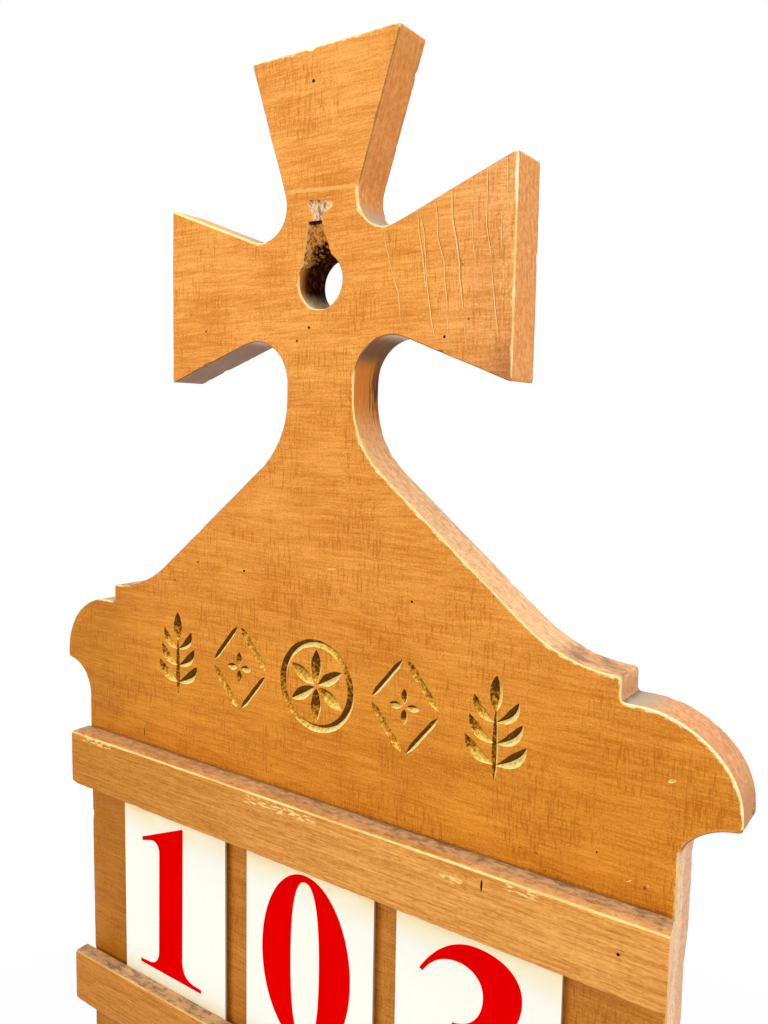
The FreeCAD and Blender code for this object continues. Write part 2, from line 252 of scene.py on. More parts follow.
# Outlines of the numerals in millimetres: a start point, then straight ends or curve triples
NUMERALS = {
    "0": (((-23.05, 36), (-23.05, 55.9, -13.1, 72, -0.9, 72), (11.3, 72, 21.25, 55.9, 21.25, 36),
           (21.25, 16.1, 11.3, 0, -0.9, 0), (-13.1, 0, -23.05, 16.1, -23.05, 36)),
          ((-8.1, 36), (-8.1, 14.5, -5.9, 2.7, -0.9, 2.7), (4.1, 2.7, 6.3, 14.5, 6.3, 36),
           (6.3, 57.5, 4.1, 69.3, -0.9, 69.3), (-5.9, 69.3, -8.1, 57.5, -8.1, 36))),
    "1": (((-19.9, 60.2), (5.6, 70.6), (6.3, 70.2), (5.5, 10),
           (6.0, 4.0, 8.5, 2.5, 13.0, 1.9), (17.2, 1.7), (17.2, 0), (-21.6, 0.4), (-21.6, 2.1),
           (-15.5, 2.3), (-10.8, 3.0, -9.5, 6.2, -9.5, 10), (-8.8, 55),
           (-8.8, 60.2, -12.4, 60.9, -15.5, 59.7), (-19.9, 58.5), (-19.9, 60.2)),),
    "2": (((-21.8, 55), (-16, 64.5, -8, 70.8, 1, 70.8), (12, 70.8, 19.5, 64.5, 19.5, 54.5),
           (19.5, 40, 4, 27, -12.5, 9.5), (9, 9.5), (15, 9.5, 18, 12, 20.5, 17.5), (22.3, 17),
           (19, 0), (-21.5, 0), (-21.5, 2.6), (-8, 17, 4.5, 33, 4.5, 50),
           (4.5, 58.5, 0, 63.5, -6, 63.5), (-12, 63.5, -16.8, 60, -20.3, 54.5), (-21.8, 55)),),
    "3": (((-21.8, 55), (-16, 64.5, -8, 70.8, 1, 70.8), (11.5, 70.8, 18.2, 66, 18.2, 57.8),
           (18.2, 49.5, 13, 43, 6.5, 39.2), (15.5, 36.5, 21.5, 29.5, 21.5, 20.5),
           (21.5, 7.5, 12, -0.8, -1, -0.8), (-12, -0.8, -21.5, 3.5, -21.5, 10.8),
           (-21.5, 14.6, -19, 16.8, -15.8, 16.8), (-12.6, 16.8, -10.6, 14.6, -10.6, 11.9),
           (-10.6, 9.2, -12.4, 8, -12.4, 5.8), (-12.4, 2.8, -8, 1.7, -3.5, 1.7),
           (3.2, 1.7, 6.6, 8, 6.6, 19.5), (6.6, 31, 2, 37, -8, 38), (-8, 40.2),
           (0, 41.2, 3.8, 47, 3.8, 53.8), (3.8, 59.5, -0.5, 63, -6, 63),
           (-12, 63, -16.8, 60, -20.3, 54.5), (-21.8, 55)),),
    "4": (((2.5, 70.6), (13.5, 70.6), (13.5, 19.6), (22, 19.6), (22, 17), (13.5, 17), (13.5, 5),
           (13.5, 2.6, 15, 1.9, 20, 1.9), (20, 0), (-5, 0), (-5, 1.9), (0.5, 1.9, 2, 2.6, 2, 5),
           (2, 17), (-22, 17), (-22, 19.6), (2.5, 70.6)),
          ((2, 19.6), (2, 62), (-18.3, 19.6), (2, 19.6))),
    "7": (((-19.5, 70.6), (21, 70.6), (21, 66.5), (9, 46, 4.5, 24, 4.5, 0), (-9.5, 0),
           (-9.5, 24, -2, 42, 14.5, 61), (-9, 61), (-14.5, 61, -17, 58, -18.3, 52.5),
           (-20.2, 52.5), (-19.5, 70.6)),),
}


def srgb(red, green, blue):
    """Linear colour from 0-255 screen values."""
    levels = [value / 255 for value in (red, green, blue)]
    linear = [v / 12.92 if v <= 0.04045 else ((v + 0.055) / 1.055) ** 2.4 for v in levels]
    return (*linear, 1.0)


# Colours of the board's face, from the rails up to the cross. It darkens downwards in part as painted shade,
# and is painted shade below the top rail and on the left lobe
FACE_HIGH = srgb(240, 158, 62)
FACE_MIDDLE = srgb(229, 147, 53)
FACE_LOW = srgb(220, 138, 34)
# painted shade on the face below the top rail, deeper towards the left
FACE_SHADE_UNDER_RAIL = srgb(203, 127, 40)
FACE_SHADE_UNDER_LEFT = srgb(187, 116, 27)
# painted shade on the left lobe
FACE_LOBE_SHADE = srgb(190, 116, 18)
FACE_PALE = srgb(255, 190, 104)
FACE_ARM_END = srgb(234, 160, 92)
FACE_STAIN = srgb(186, 116, 66)
GRAIN_DARK = (0.7, 0.56, 0.22)
GRAIN_LIGHT = (1.17, 1.32, 1.95)
FIBRE_DARK = srgb(150, 84, 26)
PORE = srgb(104, 56, 16)
BACK_SHADE = (0.6, 0.55, 0.6, 1.0)             # the unvarnished back, as shares of the face
PALE_STREAK = (-13.1, 13.9, 32.2, -0.063)      # left end, right end, height at x 0 and slope

# Bare wood, painted highlight and shade for the arrises, and dirt, with painted shade in joints and holes
BARE_WOOD = srgb(255, 218, 140)
# painted highlight, near-white, on the arrises
ARRIS_HIGHLIGHT = srgb(255, 243, 206)
# painted shade along arrises that face down or left
ARRIS_SHADE = srgb(112, 62, 18)
DUST = srgb(170, 158, 136)
DUST_DARK = srgb(104, 98, 88)
DUST_BROWN = srgb(132, 100, 70)
DUST_ARMPIT = srgb(190, 170, 142)
# dirt and painted shade in the corner over the top rail and at the rails' joint with the board
DIRT_AND_SHADE = srgb(82, 56, 34)
# grime and painted shade inside holes and splits
HOLE_DARK = srgb(34, 18, 8)
HOLE_BROWN = srgb(84, 50, 26)

# Sawn side of the board
SIDE_WOOD = srgb(244, 167, 94)
SIDE_SLOPE = srgb(244, 190, 138)
SIDE_LOBE = srgb(222, 160, 108)
SIDE_BODY = srgb(255, 216, 170)
SIDE_BODY_BACK = srgb(244, 190, 152)
SIDE_TIP = srgb(196, 124, 72)
SIDE_DARK = (0.72, 0.6, 0.5)
SIDE_LIGHT = (1.1, 1.16, 1.22)
# pooled varnish round the neck, with painted shade under the arm and on faces that look down
NECK_VARNISH_AND_SHADE = srgb(213, 125, 40)
NECK_DARK = srgb(72, 26, 0)
# painted shade on faces that look down, and undersides greyed by wear and a painted reflection of the floor
UNDER_SHADE = srgb(112, 78, 50)
UNDER_WORN_AND_REFLECTED = srgb(214, 190, 172)

# Rails
# the rails are painted lighter towards the right, as painted light
RAIL_LEFT = srgb(199, 125, 30)
RAIL_RIGHT = srgb(228, 154, 64)
RAIL_TOP_LEFT = srgb(200, 146, 80)
RAIL_TOP = srgb(202, 148, 80)
RAIL_DUST = srgb(198, 158, 114)
RAIL_END = srgb(255, 204, 154)
FLAKES = ((-27, 6, -199.3, -197.0), (63, 69, -201.8, -200.6), (88, 96, -198.0, -196.0),
          (-128, -112, -197.6, -195.8))        # (left, right, low, high) on the top rail

# Keyhole, gilding and cards
TORN_LIGHT = srgb(228, 152, 70)
TORN_BROWN = srgb(142, 78, 26)
# painted highlight on the notch walls that face right
TORN_HIGHLIGHT = srgb(238, 182, 102)
# painted shade in the notch's depth and under its top edge
TORN_SHADE = srgb(40, 10, 2)
PATCH_LIGHT = srgb(240, 200, 156)
PATCH_BROWN = srgb(156, 108, 72)
BORE_DARK = srgb(38, 11, 4)
BORE_BROWN = srgb(112, 64, 26)
BORE_TAN = srgb(196, 122, 60)
BORE_DUST = srgb(196, 168, 134)
# gold from painted shade to painted highlight on the carved facets, and dark flakes
GOLD_DARK = srgb(92, 52, 2)
GOLD = srgb(204, 140, 28)
GOLD_LIGHT = srgb(255, 216, 104)
GOLD_HIGHLIGHT = srgb(255, 242, 178)
GILT_LIT_FROM = (-0.62, -0.2, 0.76)            # direction of the painted light on the gilding, whose sides facing it are painted brightest
PAPER = srgb(254, 254, 243)
PAPER_DEEPER = srgb(253, 252, 236)
# yellowed paper and a painted reflection of the wood near the rails
PAPER_YELLOWED_AND_REFLECTED = srgb(255, 240, 188)
PAPER_HANDLED = srgb(240, 206, 170)
# painted shade on the cut edges of the cards
PAPER_EDGE_SHADE = srgb(138, 104, 66)

# Simple materials: noise (cell sizes, seed, detail, roughness), reach of its mix, two colours,
# and finish (roughness, specular level, relief, metallic)
SPECKLED = {
    "bare_wood": (((0.7, 0.7, 0.7), 57, 3, 0.7), (0.4, 0.65), (BARE_WOOD, FACE_HIGH),
                  (0.8, 0.1, 0.1, 0.0)),
    "broken_wood": (((0.8, 0.8, 0.8), 58, 4, 0.7), (0.4, 0.62),
                    (srgb(140, 80, 30), srgb(226, 160, 92)), (0.85, 0.06, 0.2, 0.0)),
    "numeral_ink": (((7, 7, 11), 81, 4, 0.6), (0.3, 0.7), (srgb(228, 0, 0), srgb(235, 0, 0)),
                    (0.7, 0.0, 0.01, 0.0)),
    "pin_steel": (((0.5, 0.5, 0.5), 91, 3, 0.6), (0.4, 0.7),
                  (srgb(52, 44, 38), srgb(96, 60, 36)), (0.55, 0.5, 0.03, 0.6)),
}

# Studio
FLOOR_HALF = 6000.0
FLOOR_COLOUR = srgb(226, 226, 226)
FLOOR_FADE = (250.0, 800.0)  # distances from the board between which its shadow fades
FLOOR_WHITE = (0.78, 1.0)    # share of plain white in the floor that the camera sees, near and far
WORLD_LIGHT = 0.5
LAMPS = (("key", (-700, -1500, 700), 900, 13.5), ("top", (150, -150, 1500), 1100, 20.0),
         ("side", (1500, -350, 250), 1100, 8.0))     # name, place, size and watts
LAMP_AIM = (0, 0, -100)


def lerp(start, end, share):
    """Value at a share of the way from start to end."""
    return start + (end - start) * share


def step(value, low, high):
    """Smooth step from 0 at low to 1 at high."""
    share = min(max((value - low) / (high - low), 0), 1)
    return share * share * (3 - 2 * share)


def waver(seed, *place):
    """Smooth repeatable unevenness between about -1 and 1, at a place counted in noise cells."""
    point = Vector((*place, 0.0, 0.0, 0.0)[:3])
    return noise.noise(point + Vector(SEED_SHIFT) * seed)


def uneven(seed, point, cell):
    """Smooth unevenness at a 2-D point, with noise cells of that size in millimetres."""
    return waver(seed, point.x / cell, point.y / cell)


# ---------------------------------------------------------------- outlines

def pairs(loop):
    """Each item of a closed loop, with the next."""
    return zip(loop, loop[1:] + loop[:1])


def triples(loop):
    """Each item of a closed loop, between the one before and the next."""
    return zip(loop[-1:] + loop[:-1], loop, loop[1:] + loop[:1])


def flat_loops(mesh, axis, highest):
    """Loops round the flat CAD face at the highest or lowest place on an axis, the longest first.

    A loop is a list of 2-D points in millimetres.
    """
    kept = [i for i in range(3) if i != axis]
    level = (max if highest else min)(vertex.co[axis] for vertex in mesh.vertices)
    tolerance = TOLERANCE * MM
    points = {}
    edges = set()
    for polygon in mesh.polygons:
        places = [mesh.vertices[i].co for i in polygon.vertices]
        if any(abs(place[axis] - level) > tolerance for place in places):
            continue
        keys = [tuple(round(place[i] / tolerance) for i in kept) for place in places]
        for key, place in zip(keys, places):
            points[key] = Vector([place[i] / MM for i in kept])
        for start, end in pairs(keys):
            if (end, start) in edges:
                edges.remove((end, start))
            else:
                edges.add((start, end))
    following = dict(edges)
    loops = []
    while following:
        start, end = following.popitem()
        loop = [points[start]]
        while end != start:
            loop.append(points[end])
            end = following.pop(end)
        loops.append(loop)
    return sorted(loops, key=loop_length, reverse=True)


def loop_length(loop):
    """Length round a closed loop of points."""
    return sum((end - start).length for start, end in pairs(loop))


def turned(loop, anticlockwise):
    """The loop, running the way asked for, so that the material is on its left."""
    area = sum(start.x * end.y - start.y * end.x for start, end in pairs(loop))
    return loop if (area > 0) == anticlockwise else loop[::-1]


def divided(start, end, step_length):
    """Points at even steps from start to just before end."""
    count = max(1, round((end - start).length / step_length))
    return [start.lerp(end, i / count) for i in range(count)]


def resampled(loop, step_length):
    """The loop with its long edges divided."""
    return [point for start, end in pairs(loop) for point in divided(start, end, step_length)]


def smoothed(loop, passes):
    """The loop with its corners worn round."""
    for _ in range(passes):
        loop = [(before + 2 * here + after) / 4 for before, here, after in triples(loop)]
    return loop


def loop_normals(loop):
    """Outward direction at each point, longer at corners, so that offsets stay parallel."""
    normals = []
    for before, here, after in triples(loop):
        first, second = (here - before).normalized(), (after - here).normalized()
        sides = Vector((first.y, -first.x)), Vector((second.y, -second.x))
        normals.append((sides[0] + sides[1]) / (1 + max(sides[0].dot(sides[1]), SHARPEST)))
    return normals


def search_tree(loop):
    """Finds the point of a loop that is nearest to a place (x, y, 0)."""
    tree = KDTree(len(loop))
    for i, point in enumerate(loop):
        tree.insert((*point, 0), i)
    tree.balance()
    return tree


def inset_loop(loop, insets):
    """The loop moved inward by each point's own inset.

    Points that would fold over at a corner gather at the nearest one that doesn't.
    """
    tree = search_tree(loop)
    moved = [point - normal * inset for point, normal, inset in zip(loop, loop_normals(loop), insets)]
    sound = [tree.find((*point, 0))[2] >= FOLD_SHARE * inset for point, inset in zip(moved, insets)]
    count = len(loop)
    gathered = []
    for i in range(count):
        reach = next(away for away in range(count) if sound[(i + away) % count] or sound[i - away])
        after = (i + reach) % count
        gathered.append(moved[after if sound[after] else i - reach])
    return gathered


def arris_profile(steps):
    """Shares of an arris radius along the face and down the side, from the face to the side."""
    angles = [math.radians(90 * i / steps) for i in range(steps + 1)]
    return [(1 - math.sin(angle), 1 - math.cos(angle)) for angle in angles]


# ---------------------------------------------------------------- meshes

def ring(mesh, points):
    """Ring of vertices at 3-D points in millimetres."""
    return [mesh.verts.new(Vector(point) * MM) for point in points]


def bridge(mesh, first, second, closed=True):
    """Quads between two rings of as many points."""
    count = len(first)
    for i in range(count if closed else count - 1):
        after = (i + 1) % count
        mesh.faces.new((first[i], first[after], second[after], second[i]))


def loft(mesh, rings, closed=True, capped=False):
    """Quads from each ring to the next, and lids on the first and last."""
    for first, second in zip(rings, rings[1:]):
        bridge(mesh, first, second, closed)
    if capped:
        mesh.faces.new(rings[0])
        mesh.faces.new(rings[-1])


def fill(mesh, level):
    """Flat triangles between the open edges at that Y."""
    edges = [edge for edge in mesh.edges if edge.is_boundary
             and all(abs(vert.co.y - level * MM) < TOLERANCE * MM for vert in edge.verts)]
    bmesh.ops.triangle_fill(mesh, use_beauty=True, edges=edges)


def placed(name, data):
    """New object in the scene."""
    made = bpy.data.objects.new(name, data)
    bpy.context.scene.collection.objects.link(made)
    return made


def meshed(source):
    """Mesh of an object as its curves or modifiers leave it."""
    graph = bpy.context.evaluated_depsgraph_get()
    return bpy.data.meshes.new_from_object(source.evaluated_get(graph))


def finished(mesh, name, finish):
    """Object made from a bmesh, with its normals outward."""
    bmesh.ops.recalc_face_normals(mesh, faces=mesh.faces)
    data = bpy.data.meshes.new(name)
    mesh.to_mesh(data)
    mesh.free()
    data.materials.append(finish)
    return placed(name, data)


def carved(target, cutters):
    """Takes the cutters' volumes out of the target, with each cutter's material on its cut faces."""
    group = bpy.data.collections.new("cutters")
    for cutter in cutters:
        group.objects.link(cutter)
    cut = target.modifiers.new("cut", "BOOLEAN")
    cut.operation = "DIFFERENCE"
    cut.operand_type = "COLLECTION"
    cut.solver = "MANIFOLD"
    cut.material_mode = "TRANSFER"
    cut.collection = group
    data = meshed(target)
    target.modifiers.clear()
    target.data = data
    for cutter in cutters:
        bpy.data.objects.remove(cutter)
    bpy.data.collections.remove(group)


def shaded(target, degrees):
    """Smooth shading with sharp edges, in which large flat faces stay flat."""
    target.data.shade_smooth()
    target.data.set_sharp_from_angle(angle=math.radians(degrees))
    target.modifiers.new("flat_faces", "WEIGHTED_NORMAL").keep_sharp = True


def groove(points, half_widths, finish, closed=False, face=BOARD_FRONT, lift=GROOVE_LIFT,
           slope=GROOVE_SLOPE):
    """V-shaped cutter along (x, z) points in a face at that Y, which stands up that far."""
    mesh = bmesh.new()
    top = face - lift
    first, last = (points[-1:], points[:1]) if closed else (points[:1], points[-1:])
    sections = []
    for before, here, after, width in zip(first + points, points, points[1:] + last, half_widths):
        along = (after - before).normalized()
        side = Vector((along.y, -along.x))
        half = width * (1 + CUT_SWELL * uneven(3, here, CUT_SWELL_CELL))
        middle = here + side * CUT_WAVER * uneven(4, here, CUT_WAVER_CELL)
        reach = side * (half + lift / slope)
        left, right = middle - reach, middle + reach
        section = [(middle.x, face + half * slope, middle.y), (left.x, top, left.y), (right.x, top, right.y)]
        sections.append(ring(mesh, section))
    loft(mesh, sections + sections[:1] if closed else sections, capped=not closed)
    return finished(mesh, "groove", finish)


def round_angles(count):
    """Angles of that many even steps round a circle."""
    return [2 * math.pi * i / count for i in range(count)]


def cut_shares(length):
    """Shares of a cut's length at which its points lie."""
    count = max(CUT_LEAST_STEPS, round(length / CUT_STEP))
    return [i / count for i in range(count + 1)]


def leaf_cut(start, end, half_width, finish, bow=0.0, fullness=0.5, face=BOARD_FRONT):
    """Leaf-shaped V cut between two points, bowed to one side, widest at a share of its length."""
    chord = end - start
    side = Vector((chord.y, -chord.x)).normalized()
    power = math.log(0.5) / math.log(fullness)
    points, widths = [], []
    for share in cut_shares(chord.length):
        points.append(start + chord * share + side * bow * math.sin(math.pi * share))
        swell = max(0, math.sin(math.pi * share ** power)) ** LEAF_BLUNTNESS
        widths.append(CUT_TIP + half_width * swell)
    return groove(points, widths, finish, face=face)


def stroke_cut(start, end, half_width, finish):
    """Straight V cut of even width with pointed ends."""
    length = (end - start).length
    points, widths = [], []
    for share in cut_shares(length):
        nearest = min(share, 1 - share) * length
        points.append(start.lerp(end, share))
        widths.append(CUT_TIP + half_width * math.sin(math.pi / 2 * min(1, nearest / STROKE_TAPER)))
    return groove(points, widths, finish)


def rosette(centre, gold):
    """Petals inside a ring, the usual chip-carved flower."""
    angles = round_angles(round(2 * math.pi * ROSETTE_RADIUS / CUT_STEP))
    circle = [centre + ROSETTE_RADIUS * Vector((math.cos(angle), math.sin(angle))) for angle in angles]
    swell = [lerp(THIN_CUT, MIDDLE_CUT, abs(math.cos(angle + ROSETTE_TURN))) for angle in angles]
    cuts = [groove(circle, swell, gold, closed=True)]
    for turn in round_angles(PETAL_COUNT):
        out = Vector((math.sin(turn), math.cos(turn)))
        cuts.append(leaf_cut(centre + PETAL_ROOT * out, centre + PETAL_TIP * out, THICK_CUT, gold))
    return cuts


def lozenge(centre, gold):
    """Diamond of two thick and two thin strokes round four short chips."""
    wide, high = LOZENGE_HALF
    tips = [Vector(place) for place in ((0, high), (wide, 0), (0, -high), (-wide, 0))]
    root, tip, chip_width = LOZENGE_CHIP
    cuts = []
    for half_width, (start, end) in zip((MIDDLE_CUT, THIN_CUT) * 2, pairs(tips)):
        gap = (end - start).normalized() * LOZENGE_GAP
        cuts.append(stroke_cut(centre + start + gap, centre + end - gap, half_width, gold))
        out = start.normalized()
        cuts.append(leaf_cut(centre + root * out, centre + tip * out, chip_width, gold))
    return cuts


def sprig(centre, gold):
    """Upright stem with pairs of leaves and a bud."""
    foot = centre - Vector((0, SPRIG_HALF_HEIGHT))
    head = centre + Vector((0, SPRIG_HALF_HEIGHT))
    cuts = [leaf_cut(foot, centre + Vector((0, STEM_TOP)), THIN_CUT, gold, fullness=STEM_FULLNESS),
            leaf_cut(centre + Vector((0, BUD_FOOT)), head, THICK_CUT, gold)]
    for level in range(LEAF_PAIRS):
        root = foot + Vector((0, LEAF_ROOT + LEAF_STEP * level))
        width = lerp(*LEAF_CUTS, level / (LEAF_PAIRS - 1))
        for way in (-1, 1):
            tip = root + Vector((way * (LEAF_REACH - LEAF_SHORTER * level), LEAF_RISE))
            cuts.append(leaf_cut(root, tip, width, gold, way * LEAF_BOW, LEAF_FULLNESS))
    return cuts


def band_cuts(gold):
    """All V cuts of the carved band."""
    middle = Vector((0, BAND_HEIGHT))
    cuts = rosette(middle, gold)
    for side in (-1, 1):
        cuts += lozenge(middle + Vector((side * LOZENGE_X, 0)), gold)
        cuts += sprig(middle + Vector((side * SPRIG_X, 0)), gold)
    return cuts


def marks(table, finish, face=BOARD_FRONT):
    """Thin straight cuts at (x and z of both ends, half width)."""
    return [leaf_cut(Vector((x0, z0)), Vector((x1, z1)), half, finish, face=face)
            for x0, z0, x1, z1, half in table]


def crack_cuts(table, finish):
    """Thin kinked cuts, pointed at both ends."""
    least, taper = CRACK_TAPER
    cuts = []
    for half_width, knots in table:
        knots = [Vector(knot) for knot in knots]
        points = [point for start, end in zip(knots, knots[1:]) for point in divided(start, end, CRACK_STEP)]
        points.append(knots[-1])
        widths = []
        for i in range(len(points)):
            nearest = min(i, len(points) - 1 - i) * CRACK_STEP
            widths.append(half_width * min(1, least + (1 - least) * nearest / taper))
        cuts.append(groove(points, widths, finish, lift=CRACK_LIFT, slope=CRACK_SLOPE))
    return cuts


def pocket_rows(stations):
    """The stations of a pocket, with more at even steps between them."""
    rows = []
    for upper, lower in zip(stations, stations[1:]):
        count = max(1, round(abs(lower[0] - upper[0]) / POCKET_STEP))
        rows += [[lerp(start, end, i / count) for start, end in zip(upper, lower)] for i in range(count)]
    return rows + [stations[-1]]


def pocket_cutter(stations, wall, finish):
    """Rough-floored pocket through (height, left, right, depth) stations in the face of the board."""
    wide, high = POCKET_ROUGH_CELL
    mesh = bmesh.new()
    grids = [], []
    for height, left, right, depth in pocket_rows(stations):
        left += POCKET_WAVER * waver(5, height / POCKET_CELL)
        right += POCKET_WAVER * waver(6, height / POCKET_CELL)
        lines = [], []
        for i in range(POCKET_ACROSS):
            share = i / (POCKET_ACROSS - 1)
            x = lerp(left, right, share)
            bowl = 1 - abs(2 * share - 1) ** wall
            rough = 1 + POCKET_ROUGHNESS * waver(7, x / wide, height / high)
            lines[0].append((x, BOARD_FRONT + depth * bowl * rough - POCKET_RIM, height))
            lines[1].append((x, BOARD_FRONT - CUTTER_LIFT, height))
        for grid, line in zip(grids, lines):
            grid.append(ring(mesh, line))
    for grid in grids:
        loft(mesh, grid, closed=False)
    for end in (0, -1):
        bridge(mesh, *[[row[end] for row in grid] for grid in grids], closed=False)
    for end in (0, -1):
        bridge(mesh, *[grid[end] for grid in grids], closed=False)
    return finished(mesh, "pocket_cutter", finish)


def hole_cutters(holes, face, finish):
    """Slightly irregular tapered holes at (x, z, radius, depth) in a face at that Y."""
    cutters = []
    for x, z, radius, depth in holes:
        mesh = bmesh.new()
        rings = []
        for y, share in zip((face - CUTTER_LIFT, face + HOLE_WAIST * depth, face + depth), HOLE_TAPER):
            points = []
            for across, up in [(math.cos(a), math.sin(a)) for a in round_angles(HOLE_SIDES)]:
                reach = radius * (1 + HOLE_WAVER * waver(8, x + across, z + up)) * share
                points.append((x + reach * across, y, z + reach * up))
            rings.append(ring(mesh, points))
        loft(mesh, rings, capped=True)
        cutters.append(finished(mesh, "hole", finish))
    return cutters


def chip_cutters(chips, finish):
    """Rough lumps that bite the edge of the board."""
    cutters = []
    for *place, radius in chips:
        mesh = bmesh.new()
        bmesh.ops.create_icosphere(mesh, subdivisions=2, radius=1)
        for vertex in mesh.verts:
            rough = radius * (1 + CHIP_WAVER * waver(12, *(vertex.co * CHIP_CELLS + Vector(place))))
            lump = Vector((vertex.co.x, vertex.co.y, vertex.co.z * CHIP_LENGTH)) * rough
            vertex.co = (lump + Vector(place)) * MM
        cutters.append(finished(mesh, "chip", finish))
    return cutters


# ---------------------------------------------------------------- the board

def arris_radius(point):
    """Rounding of the front arris at a point of the outline, with worn stretches and dents."""
    wear = 0.5 + 0.5 * uneven(1, point, WEAR_CELL) + 0.25 * uneven(2, point, WEAR_FINE_CELL)
    dent = max(0, uneven(9, point, DENT_CELL) - DENT_LEVEL) * DENT_RADIUS
    rubbed_and_lit = sum(extra * max(0, 1 - ((point - Vector((x, z))).length / reach) ** 2)
                 for x, z, reach, extra in RUBBED_PLACES)
    return lerp(*WEAR_RADIUS, min(max(wear, 0), 1)) + dent + rubbed_and_lit


def board_rings(mesh, loop, radii):
    """Rings from the front face over the arris and down the side to the back face."""
    uncut = [0] * len(loop)
    worn = [BACK_ROUNDING + BACK_CHIPS * max(0, uneven(11, point, BACK_CELL) - BACK_LEVEL) for point in loop]
    levels = [([RIM_WIDTH + radius for radius in radii], [BOARD_FRONT] * len(loop))]
    for along, down in arris_profile(ARRIS_STEPS):
        depths = [BOARD_FRONT + radius * down for radius in radii]
        levels.append(([radius * along for radius in radii], depths))
    levels += [(uncut, [y] * len(loop)) for y in SIDE_LEVELS]
    levels += [(uncut, [-depth for depth in worn]), (worn, uncut)]
    rings = []
    for insets, depths in levels:
        points = [(point.x, y, point.y) for point, y in zip(inset_loop(loop, insets), depths)]
        rings.append(ring(mesh, points))
    loft(mesh, rings)


def swelled(loop):
    """The outline with its right side fuller than the left, as it was sawn by hand."""
    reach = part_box("back_board")[1].x / MM - SHOULDER_ROOT
    moved = []
    for point in loop:
        tip = SHOULDER_SWELL * max(0, point.x - SHOULDER_ROOT) / reach
        side = SIDE_SWELL * step(point.y, *SIDE_SWELL_TOP) * step(point.y, *SIDE_SWELL_FOOT)
        moved.append(Vector((point.x + max(tip, side if point.x > 0 else 0), point.y)))
    return moved


def waved(loop):
    """The outline with the slight unevenness of a sawn and sanded edge."""
    return [point + normal * SAW_WAVE * (uneven(10, point, SAW_CELL) - 0.5)
            for point, normal in zip(loop, loop_normals(loop))]


def outline_attributes(target, outline, bore):
    """Stores on the points their nearness to an arris, their way round, and how far the arris faces up or
    right, which sets its wear and painted highlight.

    The nearness is 1 at the arris and 0 past the rim.
    """
    path = outline + bore
    tree = search_tree(path)
    travelled = [0.0]
    for before, here in zip(path, path[1:]):
        travelled.append(travelled[-1] + (here - before).length)
    # how far each point faces up or right: there the arris gets bare wood and a painted highlight, elsewhere
    # a line of painted shade
    rubbed_and_lit = [step(normal.x, *FACING_LIGHT_RIGHT) * step(normal.y, *FACING_LIGHT_UP)
              for normal in loop_normals(outline) + loop_normals(bore)]
    found = [tree.find((vertex.co.x / MM, vertex.co.z / MM, 0)) for vertex in target.data.vertices]
    reach = RIM_WIDTH + WEAR_RADIUS[0]
    stored = {"rim": [max(0, 1 - distance / reach) for _, _, distance in found],
              "along": [travelled[nearest] for _, nearest, _ in found],
              "rubbed_and_lit": [rubbed_and_lit[nearest] for _, nearest, _ in found]}
    for name, values in stored.items():
        target.data.attributes.new(name, "FLOAT", "POINT").data.foreach_set("value", values)


def side_faces(target, side_slot, bore_slot):
    """Gives the sawn side of the board and the wall of the keyhole their own material slots."""
    for face in target.data.polygons:
        if face.material_index == 0 and abs(face.normal.y) < SIDE_FACING:
            inside = math.hypot(face.center.x, face.center.z) < BORE_REACH * MM
            face.material_index = bore_slot if inside else side_slot


def board_cutters(dark):
    """Everything that is cut out of the board."""
    bare, broken = speckled("bare_wood"), speckled("broken_wood")
    return [pocket_cutter(NOTCH, NOTCH_WALL, torn_wood()),
            pocket_cutter(WORN_PATCH, PATCH_WALL, patch_wood()),
            *hole_cutters(SPOTS, BOARD_FRONT, dark), *band_cuts(gilding()),
            *hole_cutters(DENTS, BOARD_FRONT, broken), *marks(SCUFFS, bare),
            *marks(BOARD_SPLITS, dark), *crack_cuts(ARM_CRACKS, cracked_wood()),
            *chip_cutters(CHIPS, broken)]


def board(dark):
    """The back board with worn arrises, keyhole, notch, marks and carved band."""
    loops = flat_loops(frame["nodes"]["back_board"].data, axis=1, highest=True)
    loop = turned(loops[0], True)
    lowest = min(range(len(loop)), key=lambda i: (round(loop[i].y), loop[i].x))
    loop = resampled(loop[lowest:] + loop[:lowest], OUTLINE_STEP)
    outline = waved(smoothed(swelled(loop), CORNER_PASSES))
    bore = turned(loops[1], False)
    mesh = bmesh.new()
    board_rings(mesh, outline, [arris_radius(point) for point in outline])
    board_rings(mesh, bore, [BORE_WEAR] * len(bore))
    bmesh.ops.remove_doubles(mesh, verts=mesh.verts, dist=MERGE_DISTANCE * MM)
    fill(mesh, BOARD_FRONT)
    fill(mesh, 0)
    made = finished(mesh, "board", board_face())
    carved(made, board_cutters(dark))
    slots = made.data.materials
    slots.append(board_side())
    slots.append(bore_wood())
    side_faces(made, len(slots) - 2, len(slots) - 1)
    outline_attributes(made, outline, bore)
    shaded(made, BOARD_SHARP)
    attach(made, "board")
    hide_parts("back_board")


# ---------------------------------------------------------------- rails

def rail_profile(name):
    """The rail's own profile as (y, z) points, with its lower lip drawn down, and its lowest height."""
    loop = turned(flat_loops(frame["nodes"][name].data, axis=0, highest=False)[0], True)
    low = min(point.y for point in loop)
    lip = Vector((0, RAIL_DEEPER))
    loop = [point - lip if point.y < low + RAIL_LIP_EDGE else point for point in loop]
    return resampled(loop, RAIL_PROFILE_STEP), low - RAIL_DEEPER


